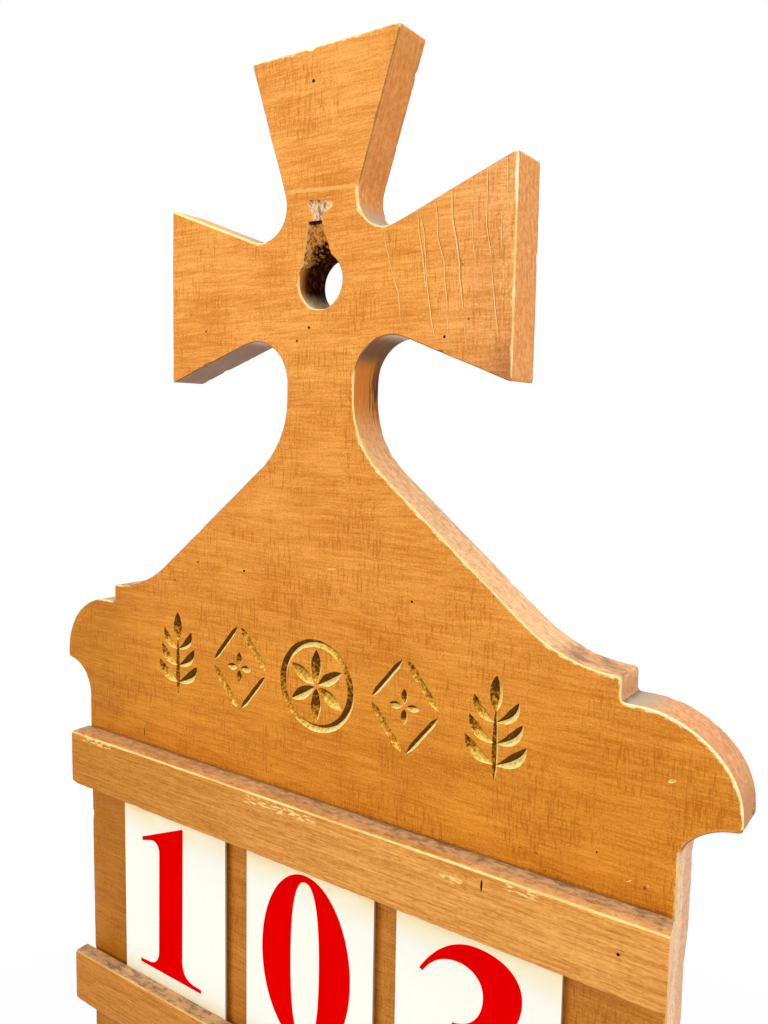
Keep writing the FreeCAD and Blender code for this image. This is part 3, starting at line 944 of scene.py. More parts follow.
def rail_stations(half):
    """Inset of the profile and X of each ring along a rail, whose ends are worn."""
    ends = [(RAIL_END_WEAR * along, half - RAIL_END_WEAR * down)
            for along, down in arris_profile(RAIL_END_STEPS)]
    span = half - RAIL_END_WEAR
    count = round(2 * span / RAIL_STEP)
    stations = [(inset, -x) for inset, x in ends]
    stations += [(0, lerp(-span, span, i / count)) for i in range(1, count)]
    return stations + ends[::-1]


def rail_dent(point, x, arris, seed):
    """How deep a front arris at that height is worn, at a point of the profile at x."""
    reach = math.hypot(point.x - RAIL_FRONT, point.y - arris)
    coarse, fine = [waver(seed, x / cell, arris) for cell in RAIL_DENT_CELLS]
    worn = RAIL_LEAST_WEAR + max(0, coarse + 0.5 * fine)
    return RAIL_DENT * worn * max(0, 1 - reach / RAIL_ARRIS_BAND)


def rail_point(x, point, half, bottom):
    """Place of a point of the profile at x, with the worn lower corners and the slanting right end."""
    depth = (point.x - RAIL_FRONT) / (BOARD_FRONT - RAIL_FRONT)
    slant = step(x, half - RAIL_SLANT_REACH, half) * lerp(*RAIL_SLANT, depth)
    near = max(0, abs(x) - half + RAIL_CORNER_REACH) / RAIL_CORNER_REACH
    worn = RAIL_CORNER * near ** 2 * step(point.y, bottom + RAIL_DEEPER, bottom)
    return x + slant, point.x, point.y + worn


def rail(name, seed, wood, dark):
    """One rail: its profile drawn out along X, with worn ends, dented arrises and a pin hole."""
    low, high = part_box(name)
    top, half = high.z / MM, high.x / MM
    loop, bottom = rail_profile(name)
    normals = loop_normals(loop)
    mesh = bmesh.new()
    rings = []
    for inset, x in rail_stations(half):
        points = []
        for point, normal in zip(loop, normals):
            dent = rail_dent(point, x, top, seed) + rail_dent(point, x, bottom, seed)
            shrunk = point - normal * inset - normal.normalized() * dent
            points.append(rail_point(x, shrunk, half, bottom))
        rings.append(ring(mesh, points))
    loft(mesh, rings, capped=True)
    bmesh.ops.triangulate(mesh, faces=[face for face in mesh.faces if len(face.verts) > 4])
    made = finished(mesh, name + "_worn", wood)
    pin_hole = (OPEN_PIN_X, (top + low.z / MM) / 2, *PIN_HOLE)
    splits = [split for split in RAIL_SPLITS if bottom < split[1] < top]
    carved(made, hole_cutters([pin_hole], RAIL_FRONT, dark) + marks(splits, dark, RAIL_FRONT))
    shaded(made, RAIL_SHARP)
    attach(made, "board")
    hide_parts(name)


# ---------------------------------------------------------------- cards and numerals

def numeral_outline(curve, contour):
    """Adds one closed contour of a numeral to a curve."""
    start, *parts = contour
    knots = [(start, start, start)]
    for part in parts:
        point = part[-2:]
        here, _, before = knots[-1]
        if len(part) == 6:
            knots[-1] = (here, part[:2], before)
            knots.append((point, point, part[2:4]))
        else:
            knots.append((point, point, point))
    closing = knots.pop()
    knots[0] = (*knots[0][:2], closing[2])
    spline = curve.splines.new("BEZIER")
    spline.bezier_points.add(len(knots) - 1)
    spline.use_cyclic_u = True
    for point, (place, leaving, arriving) in zip(spline.bezier_points, knots):
        point.handle_left_type = point.handle_right_type = "FREE"
        point.co = Vector((*place, 0)) * MM
        point.handle_left = Vector((*arriving, 0)) * MM
        point.handle_right = Vector((*leaving, 0)) * MM


def numeral(name, digit, card, ink):
    """A printed numeral lying on the front of a card."""
    low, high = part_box(card)
    curve = bpy.data.curves.new(name, "CURVE")
    curve.dimensions = "2D"
    curve.fill_mode = "BOTH"
    curve.resolution_u = NUMERAL_SMOOTHNESS
    curve.extrude = NUMERAL_THICKNESS / 2 * MM
    for contour in NUMERALS[digit]:
        numeral_outline(curve, contour)
    drawn = placed(name + "_curve", curve)
    data = meshed(drawn)
    bpy.data.objects.remove(drawn)
    place = ((low.x + high.x) / 2, low.y - NUMERAL_THICKNESS / 2 * MM, low.z + NUMERAL_FOOT * MM)
    data.transform(Matrix.Translation(place) @ Matrix.Rotation(math.pi / 2, 4, "X"))
    data.materials.clear()
    data.materials.append(ink)
    made = placed(name, data)
    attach(made, card)


def cards(paper, ink):
    """Finish and numerals of all number cards."""
    for row, number in enumerate(NUMBERS, start=1):
        for digit, place in zip(number, PLACE_NAMES):
            card = f"card_row{row}_{place}"
            node = frame["nodes"][card]
            node.data.materials[0] = paper
            edge = node.modifiers.new("soft_edge", "BEVEL")
            edge.width = CARD_ROUNDING * MM
            edge.segments = 2
            numeral(f"numeral_row{row}_{place}", digit, card, ink)


# ---------------------------------------------------------------- materials
#
# The limits of ramps and windows are millimetres on X, Y or Z, or levels of a noise or a normal.

class Value:
    """Number, vector or colour at an output socket, which can be reckoned with."""

    def __init__(self, graph, socket):
        self.graph = graph
        self.socket = socket

    def __add__(self, other):
        return self.graph.math("ADD", self, other)

    def __sub__(self, other):
        return self.graph.math("SUBTRACT", self, other)

    def __mul__(self, other):
        return self.graph.math("MULTIPLY", self, other)

    def __abs__(self):
        return self.graph.math("ABSOLUTE", self)

    def ramp(self, low, high, start=0.0, end=1.0):
        """Smooth step from start at low to end at high."""
        inputs = {"Value": self, "From Min": low, "From Max": high, "To Min": start, "To Max": end}
        return self.graph.add("ShaderNodeMapRange", inputs, interpolation_type="SMOOTHSTEP")

    def window(self, low, high, soft):
        """1 between low and high, falling to 0 within soft outside them."""
        return self.ramp(low - soft, low) * self.ramp(high + soft, high)

    def swung(self, noise_value, swing):
        """The value moved to and fro by a noise around 0.5."""
        return self + (noise_value - 0.5) * swing

    def between(self, first, second, blend="MIX"):
        """Colour at this share of the way from the first to the second."""
        return self.graph.mix(self, first, second, blend)

    def coated(self, coat, share):
        """The colour with a coat over it, where the share isn't 0."""
        return self.graph.mix(share, self, coat)

    def shading(self, colour, dark, light):
        """The colour times dark where this is 0, and times light where it is 1."""
        factor = self.ramp(0, 1).between((*dark, 1), (*light, 1))
        return self.graph.mix(1.0, colour, factor, "MULTIPLY")

    def cells(self, size, offset, detail=2.0, roughness=0.5):
        """Noise around 0.5 at this point, whose cells have that size in X, Y and Z."""
        inputs = {0: self, 1: [1 / length for length in size], 2: (offset,) * 3}
        scaled = self.graph.add("ShaderNodeVectorMath", inputs, operation="MULTIPLY_ADD")
        inputs = {"Vector": scaled, "Scale": 1.0, "Detail": detail, "Roughness": roughness}
        return self.graph.add("ShaderNodeTexNoise", inputs)

    def raised(self, height):
        """This point moved up."""
        up = self.graph.add("ShaderNodeCombineXYZ", {"Z": height})
        return self.graph.add("ShaderNodeVectorMath", {0: self, 1: up}, operation="ADD")


class Graph:
    """Node tree of one material or world."""

    def __init__(self, owner):
        self.owner = owner
        owner.use_nodes = True
        self.tree = owner.node_tree
        self.tree.nodes.clear()

    def add(self, kind, inputs, output=0, **settings):
        """New node, and the value at its output."""
        node = self.tree.nodes.new(kind)
        for name, value in settings.items():
            setattr(node, name, value)
        for key, value in inputs.items():
            if isinstance(value, Value):
                self.tree.links.new(value.socket, node.inputs[key])
            else:
                node.inputs[key].default_value = value
        return Value(self, node.outputs[output]) if node.outputs else None

    def math(self, operation, first, second=0.0):
        """Result of a math node."""
        return self.add("ShaderNodeMath", {0: first, 1: second}, operation=operation)

    def mix(self, share, first, second, blend="MIX"):
        """Colour at a share of the way from the first to the second."""
        return self.add("ShaderNodeMix", {0: share, 6: first, 7: second}, output=2,
                        data_type="RGBA", blend_type=blend)

    def split(self, vector):
        """Components of a vector."""
        sockets = self.add("ShaderNodeSeparateXYZ", {0: vector}).socket.node.outputs
        return [Value(self, socket) for socket in sockets]

    def place(self):
        """Point on the object in millimetres, and its components."""
        point = self.add("ShaderNodeTexCoord", {}, output="Object")
        point = self.add("ShaderNodeVectorMath", {0: point, 1: (1 / MM,) * 3}, operation="MULTIPLY")
        return point, *self.split(point)

    def normal(self, output="Normal"):
        """Components of the surface normal."""
        return self.split(self.add("ShaderNodeNewGeometry", {}, output=output))

    def attribute(self, name):
        """Value stored on the points."""
        return self.add("ShaderNodeAttribute", {}, output="Fac", attribute_name=name)

    def way(self, across):
        """Vector of the place along the outline and the place across it."""
        return self.add("ShaderNodeCombineXYZ", {"X": self.attribute("along"), "Y": across})

    def surface(self, colour, roughness, specular=0.5, relief=None, depth=0.0, metallic=0.0):
        """Finishes the material, with a relief whose full height is that many millimetres."""
        inputs = {"Base Color": colour, "Roughness": roughness, "Specular IOR Level": specular,
                  "Metallic": metallic}
        if relief:
            bump = {"Height": relief, "Distance": depth * MM, "Strength": 1.0}
            inputs["Normal"] = self.add("ShaderNodeBump", bump)
        shader = self.add("ShaderNodeBsdfPrincipled", inputs)
        self.add("ShaderNodeOutputMaterial", {"Surface": shader})
        return self.owner


def material(name):
    """Graph of a new material."""
    return Graph(bpy.data.materials.new(name))


def tone(*parts):
    """Sum of noises, each times its weight, around 0.5."""
    made = 0.5
    for noise_value, weight in parts:
        made = (noise_value - 0.5) * weight + made
    return made


def grain(point):
    """Tone and relief of a board face: wavering lines along the grain, and a fine upright comb."""
    wavy = point.raised((point.cells((50, 40, 16), 19) - 0.5) * 4.5)
    bands = wavy.cells((95, 40, 3.4), 3, 3, 0.6)
    cloud = point.cells((30, 30, 22), 11)
    lines = wavy.cells((16, 5, 1.0), 5, 3, 0.65)
    fine = wavy.cells((7, 4, 0.45), 6, 1)
    speckle = point.cells((0.8, 0.8, 0.7), 8, 2, 0.6)
    patches = point.cells((18, 30, 14), 21).ramp(0.4, 0.6, 0.15, 1)
    comb = point.cells((0.62, 3, 6.5), 7, 3, 0.65).ramp(0.5, 0.66) * patches
    shade = tone((bands, 0.5), (cloud, 0.5), (lines, 0.85), (fine, 0.55), (speckle, 0.9))
    return shade - comb * 0.36, lines * 0.7 - comb * 0.5


def arris_wear_and_light(graph, colour, way, reach):
    """The colour with a frayed line of bare wood and painted highlight on arrises that face up or right, and
    a thin line of painted shade on others.

    The line is thin at the end of the right arm, but for its top, and broad on the right shoulder.
    """
    _, x, _, z = graph.place()
    _, normal_y, _ = graph.normal()
    # arrises that face up or right get bare wood and a painted highlight, the others a thin line of painted
    # shade
    rubbed_and_lit = graph.attribute("rubbed_and_lit")
    patchy = way.cells((3.2, 0.9, 1), 31, 4, 0.75)
    wide = way.cells((15, 300, 1), 32, 1)
    near = graph.math("MAXIMUM", reach, normal_y.window(-0.93, -0.3, 0.05))
    shoulder = x.ramp(112, 126) * z.ramp(-183, -174)
    arm = x.window(70, 80, 3)
    arm_top = arm * z.window(19, 31, 3)
    loose = tone((patchy, 1.3), (wide, 0.9)) - 0.5
    frayed = near + loose * near.ramp(1.0, 0.65, 0.4, 1)
    frayed = frayed + shoulder * 0.08 - arm * z.ramp(24, 14) * 0.12 + arm_top * 0.14
    bare = frayed.ramp(0.66, 0.94) * rubbed_and_lit.ramp(0, 1, 0.1, 0.95) * z.ramp(-186, -174, 0.5, 1)
    # painted shade on arrises that face down or left
    grime_and_shade = near.ramp(0.8, 1.0) * rubbed_and_lit.ramp(0.6, 0) * patchy.ramp(0.3, 0.6, 0.5, 0.95)
    # painted highlight on the line, strongest on the right shoulder and the top of the right arm
    white = patchy.ramp(0.52, 0.68) + shoulder * 0.35 + arm_top * 0.6
    return colour.coated(ARRIS_SHADE, grime_and_shade).coated(white.between(BARE_WOOD, ARRIS_HIGHLIGHT), bare)


def board_face():
    """Honey-coloured varnished oak with a browner right arm, painted shade that darkens it downwards, below
    the top rail and on the left lobe, and dirt with painted shade over the top rail.
    """
    graph = material("board_wood")
    point, x, y, z = graph.place()
    fluff = point.cells((1.6, 1, 0.8), 33, 3, 0.7)
    blotch = point.cells((8, 8, 6), 34, 3, 0.6)
    cross = z.ramp(-62, -52)
    # painted shade below the top rail, deeper towards the left
    under = x.ramp(-110, -40).between(FACE_SHADE_UNDER_LEFT, FACE_SHADE_UNDER_RAIL)
    # darker towards the bottom, in part painted shade of the light from above
    colour = z.ramp(-178, -85).between(FACE_LOW, FACE_MIDDLE)
    colour = colour.coated(FACE_HIGH, z.ramp(-66, 8)).coated(under, z.ramp(-194, -200))
    # painted shade on the left lobe
    colour = colour.coated(FACE_LOBE_SHADE, x.ramp(-75, -130) * z.ramp(-100, -120) * 0.6)
    colour = colour.coated(FACE_ARM_END, x.ramp(34, 80) * cross * 0.55)
    colour = colour.coated(FACE_STAIN, (x - z + blotch * 14).ramp(100, 116) * cross * 0.75)
    shade, relief = grain(point)
    colour = shade.shading(colour, GRAIN_DARK, GRAIN_LIGHT)
    left, right, level, slope = PALE_STREAK
    streak = (z - x * slope).swung(fluff, 1.2).window(level - 0.4, level + 0.4, 0.5)
    colour = colour.coated(FACE_PALE, streak * x.window(left, right, 4) * 0.6)
    colour = colour.coated(PORE, point.cells((2.2, 2, 0.3), 9).ramp(0.66, 0.73) * 0.5)
    # dirt and painted shade in the corner over the top rail
    corner = (z + fluff * 4.2).ramp(-191.0, -192.9) * z.ramp(-197, -196)
    colour = colour.coated(DIRT_AND_SHADE, corner * 0.6)
    flecks = point.cells((0.7, 0.9, 2.0), 36, 3, 0.7).ramp(0.54, 0.66, 0, 0.5)
    colour = colour.coated(BARE_WOOD, x.window(73, 78, 2) * z.window(-12, 24, 5) * flecks)
    rim = graph.attribute("rim")
    colour = arris_wear_and_light(graph, colour, graph.way(rim * -RIM_WIDTH), rim)
    colour = y.ramp(-2, -0.4).between(colour, BACK_SHADE, "MULTIPLY")
    return graph.surface(colour, blotch.ramp(0.3, 0.7, 0.45, 0.62), 0.14, relief, 0.06)


def bore_wood():
    """Wall of the keyhole: brown-black deep inside, tan towards its mouth, grey with dust below."""
    graph = material("bore_wood")
    point, _, y, _ = graph.place()
    _, _, normal_z = graph.normal()
    mottle = point.cells((2, 2, 3), 37, 4, 0.65)
    colour = mottle.ramp(0.45, 0.7).between(BORE_DARK, BORE_BROWN)
    colour = colour.coated(BORE_TAN, y.swung(mottle, 5).ramp(BOARD_FRONT + 5, BOARD_FRONT + 0.5))
    colour = colour.coated(BORE_DUST, normal_z.ramp(0.25, 0.8) * mottle.ramp(0.25, 0.6, 0.6, 1))
    mouth = y.ramp(BOARD_FRONT + 1.1, BOARD_FRONT + 0.4)
    colour = arris_wear_and_light(graph, colour, graph.way(y), mouth)
    return graph.surface(colour, 0.9, 0.02, mottle, 0.1)


def board_side():
    """Sawn side of the board: pinker, brown round the neck with pooled varnish and painted shade, painted
    shade on faces that look down, greyed below by wear and a painted reflection of the floor, dusty on the
    ledges.
    """
    graph = material("board_side")
    point, x, y, z = graph.place()
    normal_x, _, normal_z = graph.normal()
    way = graph.way(y)
    streak = way.cells((8, 0.9, 1), 23, 4, 0.6)
    mottle = point.cells((2.0, 2.0, 2.0), 25, 5, 0.7)
    beside = abs(x)
    colour = z.ramp(-20, -80).between(SIDE_WOOD, SIDE_SLOPE)
    colour = colour.coated(SIDE_LOBE, z.ramp(-116, -134))
    body = y.ramp(-10, -7).between(SIDE_BODY, SIDE_BODY_BACK)
    colour = colour.coated(body, z.ramp(-168, -176))
    tip = mottle.ramp(0.35, 0.6) * z.window(-168, -156, 4) * beside.ramp(140, 150)
    colour = colour.coated(SIDE_TIP, tip * 0.7)
    shade = (streak - 0.5) * z.ramp(-112, -130, 1.4, 0.5) + 0.5
    colour = shade.swung(mottle, 1.7).shading(colour, SIDE_DARK, SIDE_LIGHT)
    speckle = point.cells((0.8, 0.8, 0.8), 27, 3, 0.7).ramp(0.56, 0.7)
    colour = colour.coated(FIBRE_DARK, speckle * beside.ramp(112, 128, 0.35, 0.65))
    # pooled varnish at the neck with painted shade under the arm, darkest towards the back
    patch = z.swung(streak, 26)
    neck = beside.ramp(45, 38) * patch.ramp(-20, -28)
    pooled_and_shaded = neck * patch.ramp(-60, -40) * streak.ramp(0.3, 0.6, 0.6, 1)
    back = neck * patch.ramp(-52, -40) * y.swung(streak, 14).ramp(-7, -2)
    colour = colour.coated(NECK_VARNISH_AND_SHADE, pooled_and_shaded).coated(NECK_DARK, back * 0.9)
    # painted shade on faces that look down
    colour = colour.coated(NECK_VARNISH_AND_SHADE, normal_z.ramp(0, -0.3, 0, 0.25))
    # more painted shade on faces that look down, and open undersides greyed by wear and a painted reflection
    # of the floor
    below = normal_z.ramp(-0.25, -0.65) * streak.ramp(0.3, 0.6, 0.75, 1)
    open_air = normal_z.ramp(-0.7, -0.97) * normal_x.ramp(0.5, -0.05)
    colour = colour.coated(UNDER_SHADE, below).coated(UNDER_WORN_AND_REFLECTED, open_air)
    level = normal_z.ramp(0.72, 0.93)
    ledge = mottle.ramp(0.2, 0.52, 0.3, 1) * z.window(-136, -131, 1) * beside.ramp(133, 120)
    colour = colour.coated(DUST, level * ledge * 0.95)
    inner = (beside + mottle * 3).ramp(122, 119) * z.window(-136, -130.5, 1)
    colour = colour.coated(DUST_DARK, inner * normal_z.ramp(0.5, 0.8) * 0.85)
    stained = way.cells((9, 6, 1), 29, 4, 0.6).ramp(0.34, 0.66) * z.window(-125.6, -121.5, 2.5)
    colour = colour.coated(DUST_BROWN, stained * level * 0.85)
    armpit = z.window(10, 23, 5) * normal_z.swung(streak, 0.9).ramp(0, 0.75)
    colour = colour.coated(DUST_ARMPIT, armpit * 0.85)
    colour = arris_wear_and_light(graph, colour, way, y.ramp(BOARD_FRONT + 1.3, BOARD_FRONT + 0.3))
    colour = colour.coated(FIBRE_DARK, (y + mottle * 1.6).ramp(-0.4, 0.5) * 0.7)
    roughness = mottle.ramp(0.3, 0.7, 0.5, 0.65)
    return graph.surface(colour, roughness, 0.12, streak * 0.4 + mottle * 0.4, 0.1)


def flakes(point, x, y, z):
    """Chipped varnish on the front of the top rail, just below its upper arris."""
    places = 0.0
    for left, right, low, high in FLAKES:
        places = x.window(left, right, 3) * z.window(low, high, 0.8) + places
    chips = point.cells((3.4, 2, 0.8), 53, 3, 0.6).ramp(0.5, 0.56)
    return chips * places * y.ramp(RAIL_FRONT + 1, RAIL_FRONT + 0.4)


def rail_wood():
    """Straight-grained rail: close dark lines, painted lighter towards the right, dusty top, dirt with
    painted shade at the joint, pale worn arrises with a painted highlight, and pinker sawn ends.
    """
    graph = material("rail_wood")
    point, x, y, z = graph.place()
    normal_x, normal_y, normal_z = graph.normal()
    bands = point.cells((70, 30, 3.2), 41, 3, 0.6)
    lines = point.cells((32, 8, 0.8), 43, 3, 0.65)
    fine = point.cells((5, 4, 0.42), 44)
    flecked = point.cells((1.6, 1.6, 0.9), 46, 3, 0.65)
    fluff = point.cells((5, 2.2, 5), 47, 5, 0.75)
    upright = point.cells((2, 1.6, 14), 48, 4, 0.65)
    patchy = point.cells((4, 1.5, 1.5), 49, 5, 0.75)
    along = x.ramp(-140, 60)
    top = normal_z.ramp(0.6, 0.92)
    lower = z.ramp(-230, -280)
    # painted light: lighter towards the right
    colour = along.between(RAIL_LEFT, RAIL_RIGHT)
    colour = colour.coated(along.between(RAIL_TOP_LEFT, RAIL_TOP), top)
    shade = tone((bands, 0.6), (lines, 1.2), (fine, 0.9), (flecked, 0.7))
    colour = shade.shading(colour, GRAIN_DARK, GRAIN_LIGHT)
    pores = point.cells((3.5, 2, 0.32), 45).ramp(0.64, 0.7)
    colour = colour.coated(PORE, pores * 0.5)
    grey = top * y.swung(fluff, 9).ramp(-22.8, -19.8) * x.ramp(-110, 40, 0.5, 0.9)
    grey = graph.math("MAXIMUM", grey, top * lower * fluff.ramp(0.35, 0.6, 0.3, 1))
    colour = colour.coated(fluff.ramp(0.4, 0.62).between(RAIL_DUST, DUST_BROWN), grey)
    # dirt and painted shade at the joint with the board
    joint = (y + fluff * 2).ramp(BOARD_FRONT - 1.2, BOARD_FRONT + 0.9)
    colour = colour.coated(DIRT_AND_SHADE, top * joint * 0.25)
    # bare wood with a painted highlight on the rounded top front arris, weaker on the lower rails
    slant = abs(normal_z - 0.6).swung(patchy, 0.35)
    arris = slant.ramp(0.27, 0.17) * normal_y.ramp(-0.35, -0.6)
    rubbed_and_lit = point.cells((26, 300, 60), 50).ramp(0.38, 0.6, 0.4, 0.95)
    colour = colour.coated(BARE_WOOD, arris * rubbed_and_lit * lower.ramp(0, 1, 1, 0.4))
    colour = colour.coated(BARE_WOOD, flakes(point, x, y, z) * 0.85)
    sawn = tone((upright, 1.6), (patchy, 0.6)).shading(RAIL_END, SIDE_DARK, SIDE_LIGHT)
    colour = colour.coated(sawn, abs(normal_x).ramp(0.55, 0.8))
    roughness = patchy.ramp(0.3, 0.7, 0.45, 0.62)
    return graph.surface(colour, roughness, 0.2, lines * 0.7 - pores * 0.7, 0.06)


def torn_wood():
    """Torn wood of the notch: golden speckled with brown, with painted shade in its depth and under its top
    edge, and a painted highlight on walls that face right.
    """
    graph = material("torn_wood")
    point, _, y, z = graph.place()
    normal_x, _, _ = graph.normal("True Normal")
    torn = point.cells((0.9, 0.9, 1.3), 51, 4, 0.62)
    left = normal_x.ramp(0.35, 0.75)
    colour = torn.ramp(0.42, 0.66).between(TORN_LIGHT, TORN_BROWN)
    # painted highlight on walls that face right
    colour = colour.coated(TORN_HIGHLIGHT, left * torn.ramp(0.54, 0.44))
    # painted shadow under the top edge, and painted shade deeper in, less on walls that face right
    top_step = z.ramp(20.4, 20.8) * y.ramp(BOARD_FRONT + 0.3, BOARD_FRONT + 0.6)
    deep = (y.swung(torn, 1.2) - z * 0.22).ramp(BOARD_FRONT + 0.7, BOARD_FRONT + 1.7)
    colour = colour.coated(TORN_SHADE, top_step * 0.9)
    colour = colour.coated(TORN_SHADE, deep * left.ramp(0, 1, 1, 0.45))
    lip = y.swung(torn, 1.5).ramp(BOARD_FRONT + 0.8, BOARD_FRONT + 0.3) * z.ramp(20.6, 20.0)
    colour = colour.coated(BARE_WOOD, lip * 0.8)
    return graph.surface(colour, 0.9, 0.04, torn, 0.2)


def patch_wood():
    """Worn patch over the notch: pinkish bare wood with brown streaks and a painted shadow along its upper
    edge.
    """
    graph = material("patch_wood")
    point, x, y, z = graph.place()
    torn = point.cells((0.9, 0.9, 2.2), 55, 5, 0.75)
    colour = torn.ramp(0.42, 0.6).between(PATCH_LIGHT, PATCH_BROWN)
    colour = colour.coated(BARE_WOOD, x.ramp(2.5, 4.5) * torn.ramp(0.6, 0.45))
    # painted shadow along the upper edge
    colour = colour.coated(FIBRE_DARK, z.swung(torn, 3).ramp(28.0, 28.9, 0, 0.8))
    edge = y.swung(torn, 0.7).ramp(BOARD_FRONT + 0.16, BOARD_FRONT + 0.04)
    return graph.surface(colour.coated(FACE_HIGH, edge), 0.85, 0.08, torn, 0.2)


def cracked_wood():
    """Walls of the cracks in the right arm, with painted light and shade: pale where they face right, dark
    where they face left.
    """
    graph = material("cracked_wood")
    broken = graph.place()[0].cells((1.5, 1.5, 2.5), 59, 3, 0.7)
    pale = broken.ramp(0.42, 0.58).between(BARE_WOOD, FACE_PALE)
    # painted light and shade: walls that face right pale, walls that face left dark
    colour = graph.normal("True Normal")[0].ramp(-0.1, 0.05).between(FIBRE_DARK, pale)
    return graph.surface(colour, 0.8, 0.1)


def gilding():
    """Old gold paint in the V cuts, with painted light and shade: bright where a side faces the light, dark
    where it faces away.
    """
    graph = material("gilding")
    point = graph.place()[0]
    normal_x, normal_y, normal_z = graph.normal("True Normal")
    worn = point.cells((1.2, 1.2, 1.2), 61, 5, 0.7)
    right, back, up = GILT_LIT_FROM
    # painted light and shade: brightest where a side faces the painted light, darkest where it faces away
    lit = normal_x * right + normal_y * back + normal_z * up
    shade = lit + worn.ramp(0.3, 0.7, -0.4, 0.4)
    colour = shade.ramp(-0.4, 0.1).between(GOLD_DARK, GOLD)
    colour = colour.coated(GOLD_LIGHT, shade.ramp(0.05, 0.65))
    colour = colour.coated(GOLD_HIGHLIGHT, shade.ramp(0.75, 1.0))
    flaked = point.cells((0.8, 0.8, 1.0), 63, 3, 0.6).ramp(0.6, 0.68)
    colour = colour.coated(GOLD_DARK, flaked * 0.6)
    return graph.surface(colour, worn.ramp(0.3, 0.7, 0.5, 0.7), 0.12, worn, 0.15)


def card_paper():
    """Cream-white printed card, yellowed above and below with a painted reflection of the wood, and painted
    shade on its cut edges.
    """
    graph = material("card_paper")
    point = graph.place()[0]
    height = graph.split(graph.add("ShaderNodeTexCoord", {}, output="Generated"))[2]
    fibre = point.cells((1.6, 1.6, 1.6), 71, 4, 0.6)
    stain = point.cells((22, 9, 7), 73, 3, 0.5)
    # yellowed near the top and bottom, in part a painted reflection of the wood
    edge = height.ramp(0.74, 0.9) + height.ramp(0.16, 0.03, 0, 0.7)
    colour = fibre.ramp(0.3, 0.7).between(PAPER, PAPER_DEEPER)
    colour = colour.coated(PAPER_YELLOWED_AND_REFLECTED, edge * stain.ramp(0.25, 0.6, 0.4, 1))
    handled = height.ramp(0.83, 0.9) * stain.ramp(0.45, 0.7)
    colour = colour.coated(PAPER_HANDLED, handled * 0.35)
    # painted shade on the cut edges
    shaded_edge = abs(graph.normal("True Normal")[0]).ramp(0.6, 0.9)
    colour = colour.coated(PAPER_EDGE_SHADE, shaded_edge * 0.8)
    return graph.surface(colour, 0.55, 0.15, fibre, 0.012)


def hole_dark():
    """Inside of the small holes and splits: grime and painted shade."""
    graph = material("hole_dark")
    grime_and_shade = graph.place()[0].cells((0.4, 0.4, 0.4), 65)
    return graph.surface(grime_and_shade.between(HOLE_DARK, HOLE_BROWN), 0.9, 0.1)


def speckled(name):
    """Material of two colours, mixed and slightly raised by one noise."""
    cells, (low, high), (first, second), finish = SPECKLED[name]
    roughness, specular, depth, metallic = finish
    graph = material(name)
    speckle = graph.place()[0].cells(*cells)
    colour = speckle.ramp(low, high).between(first, second)
    return graph.surface(colour, roughness, specular, speckle, depth, metallic)


# ---------------------------------------------------------------- studio

def seen_directly(graph):
    """1 for camera, glossy and transmission rays."""
    seen = 0.0
    for ray in ("Is Camera Ray", "Is Glossy Ray", "Is Transmission Ray"):
        seen = graph.math("MAXIMUM", graph.add("ShaderNodeLightPath", {}, output=ray), seen)
    return seen


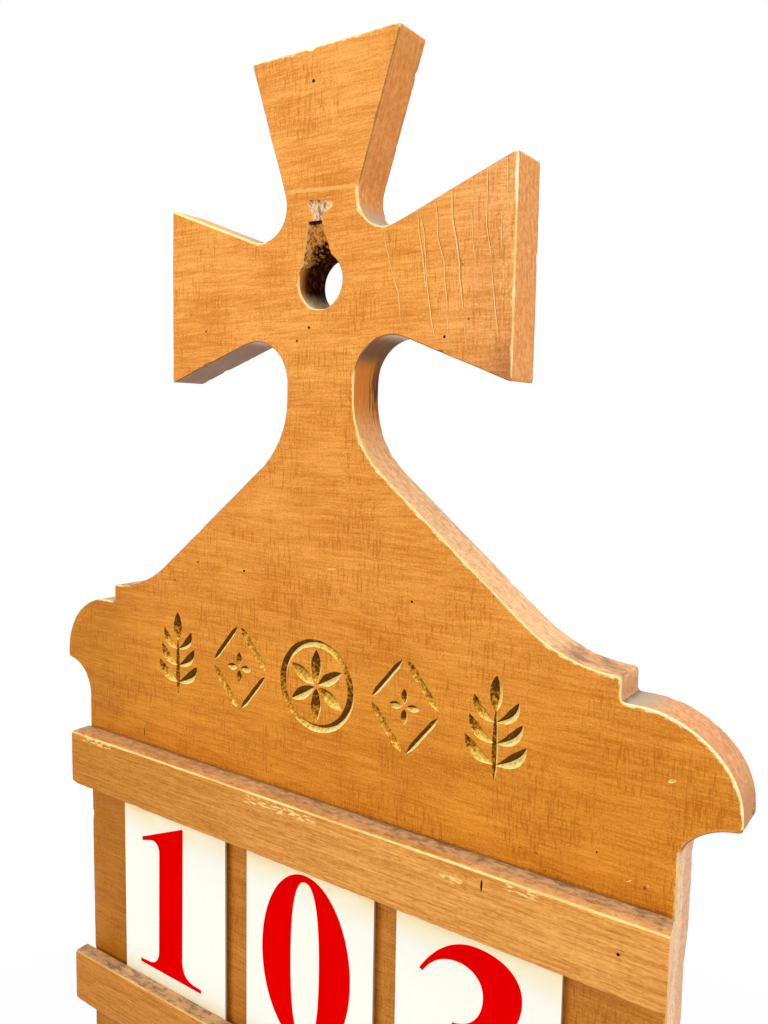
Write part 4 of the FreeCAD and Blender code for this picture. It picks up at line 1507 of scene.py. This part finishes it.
def floor():
    """Plain pale floor under the board, which keeps its shadow."""
    graph = material("floor")
    _, x, y, _ = graph.place()
    distance = graph.math("SQRT", x * x + y * y)
    share = seen_directly(graph) * distance.ramp(*FLOOR_FADE, *FLOOR_WHITE)
    paper = graph.add("ShaderNodeBsdfDiffuse", {"Color": FLOOR_COLOUR})
    white = graph.add("ShaderNodeEmission", {"Color": WHITE, "Strength": 1.0})
    mixed = graph.add("ShaderNodeMixShader", {0: share, 1: paper, 2: white})
    graph.add("ShaderNodeOutputMaterial", {"Surface": mixed})
    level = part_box("back_board")[0].z / MM
    mesh = bmesh.new()
    mesh.faces.new(ring(mesh, [(across * FLOOR_HALF, deep * FLOOR_HALF, level)
                               for across, deep in ((-1, -1), (1, -1), (1, 1), (-1, 1))]))
    made = graph.owner
    finished(mesh, "floor", made)


def world():
    """White surroundings: full white where seen, softer where they light."""
    graph = Graph(bpy.data.worlds.new("studio"))
    bpy.context.scene.world = graph.owner
    strength = seen_directly(graph).ramp(0, 1, WORLD_LIGHT, 1.0)
    shell = graph.add("ShaderNodeBackground", {"Color": WHITE, "Strength": strength})
    graph.add("ShaderNodeOutputWorld", {"Surface": shell})


def lamps():
    """Large soft lamps aimed at the crest."""
    for name, place, size, watts in LAMPS:
        lamp = bpy.data.lights.new(name, "AREA")
        lamp.size = size * MM
        lamp.energy = watts
        holder = placed(name, lamp)
        holder.location = Vector(place) * MM
        holder.rotation_mode = "QUATERNION"
        aim = (Vector(LAMP_AIM) - Vector(place)) * MM
        holder.rotation_quaternion = aim.to_track_quat("-Z", "Y")


def camera():
    """Camera where the photograph was taken from."""
    lens = bpy.data.cameras.new("camera")
    lens.lens = CAMERA_LENS
    lens.sensor_width = CAMERA_SENSOR
    lens.clip_start = CAMERA_NEAR * MM
    holder = placed("camera", lens)
    turn = Matrix.Rotation(math.radians(CAMERA_TURN), 4, "Z")
    dip = Matrix.Rotation(math.radians(90 - CAMERA_DIP), 4, "X")
    roll = Matrix.Rotation(math.radians(CAMERA_ROLL), 4, "Z")
    holder.matrix_world = Matrix.Translation(Vector(CAMERA_PLACE) * MM) @ turn @ dip @ roll
    bpy.context.scene.camera = holder


def main():
    """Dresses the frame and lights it."""
    bpy.context.scene.view_settings.view_transform = "Standard"
    dark = hole_dark()
    board(dark)
    wood = rail_wood()
    for seed, name in enumerate(RAIL_NAMES, start=RAIL_SEED):
        rail(name, seed, wood, dark)
    cards(card_paper(), speckled("numeral_ink"))
    steel = speckled("pin_steel")
    for name in RAIL_NAMES:
        frame["nodes"][name + "_pins"].data.materials[0] = steel
    floor()
    world()
    lamps()
    camera()


main()
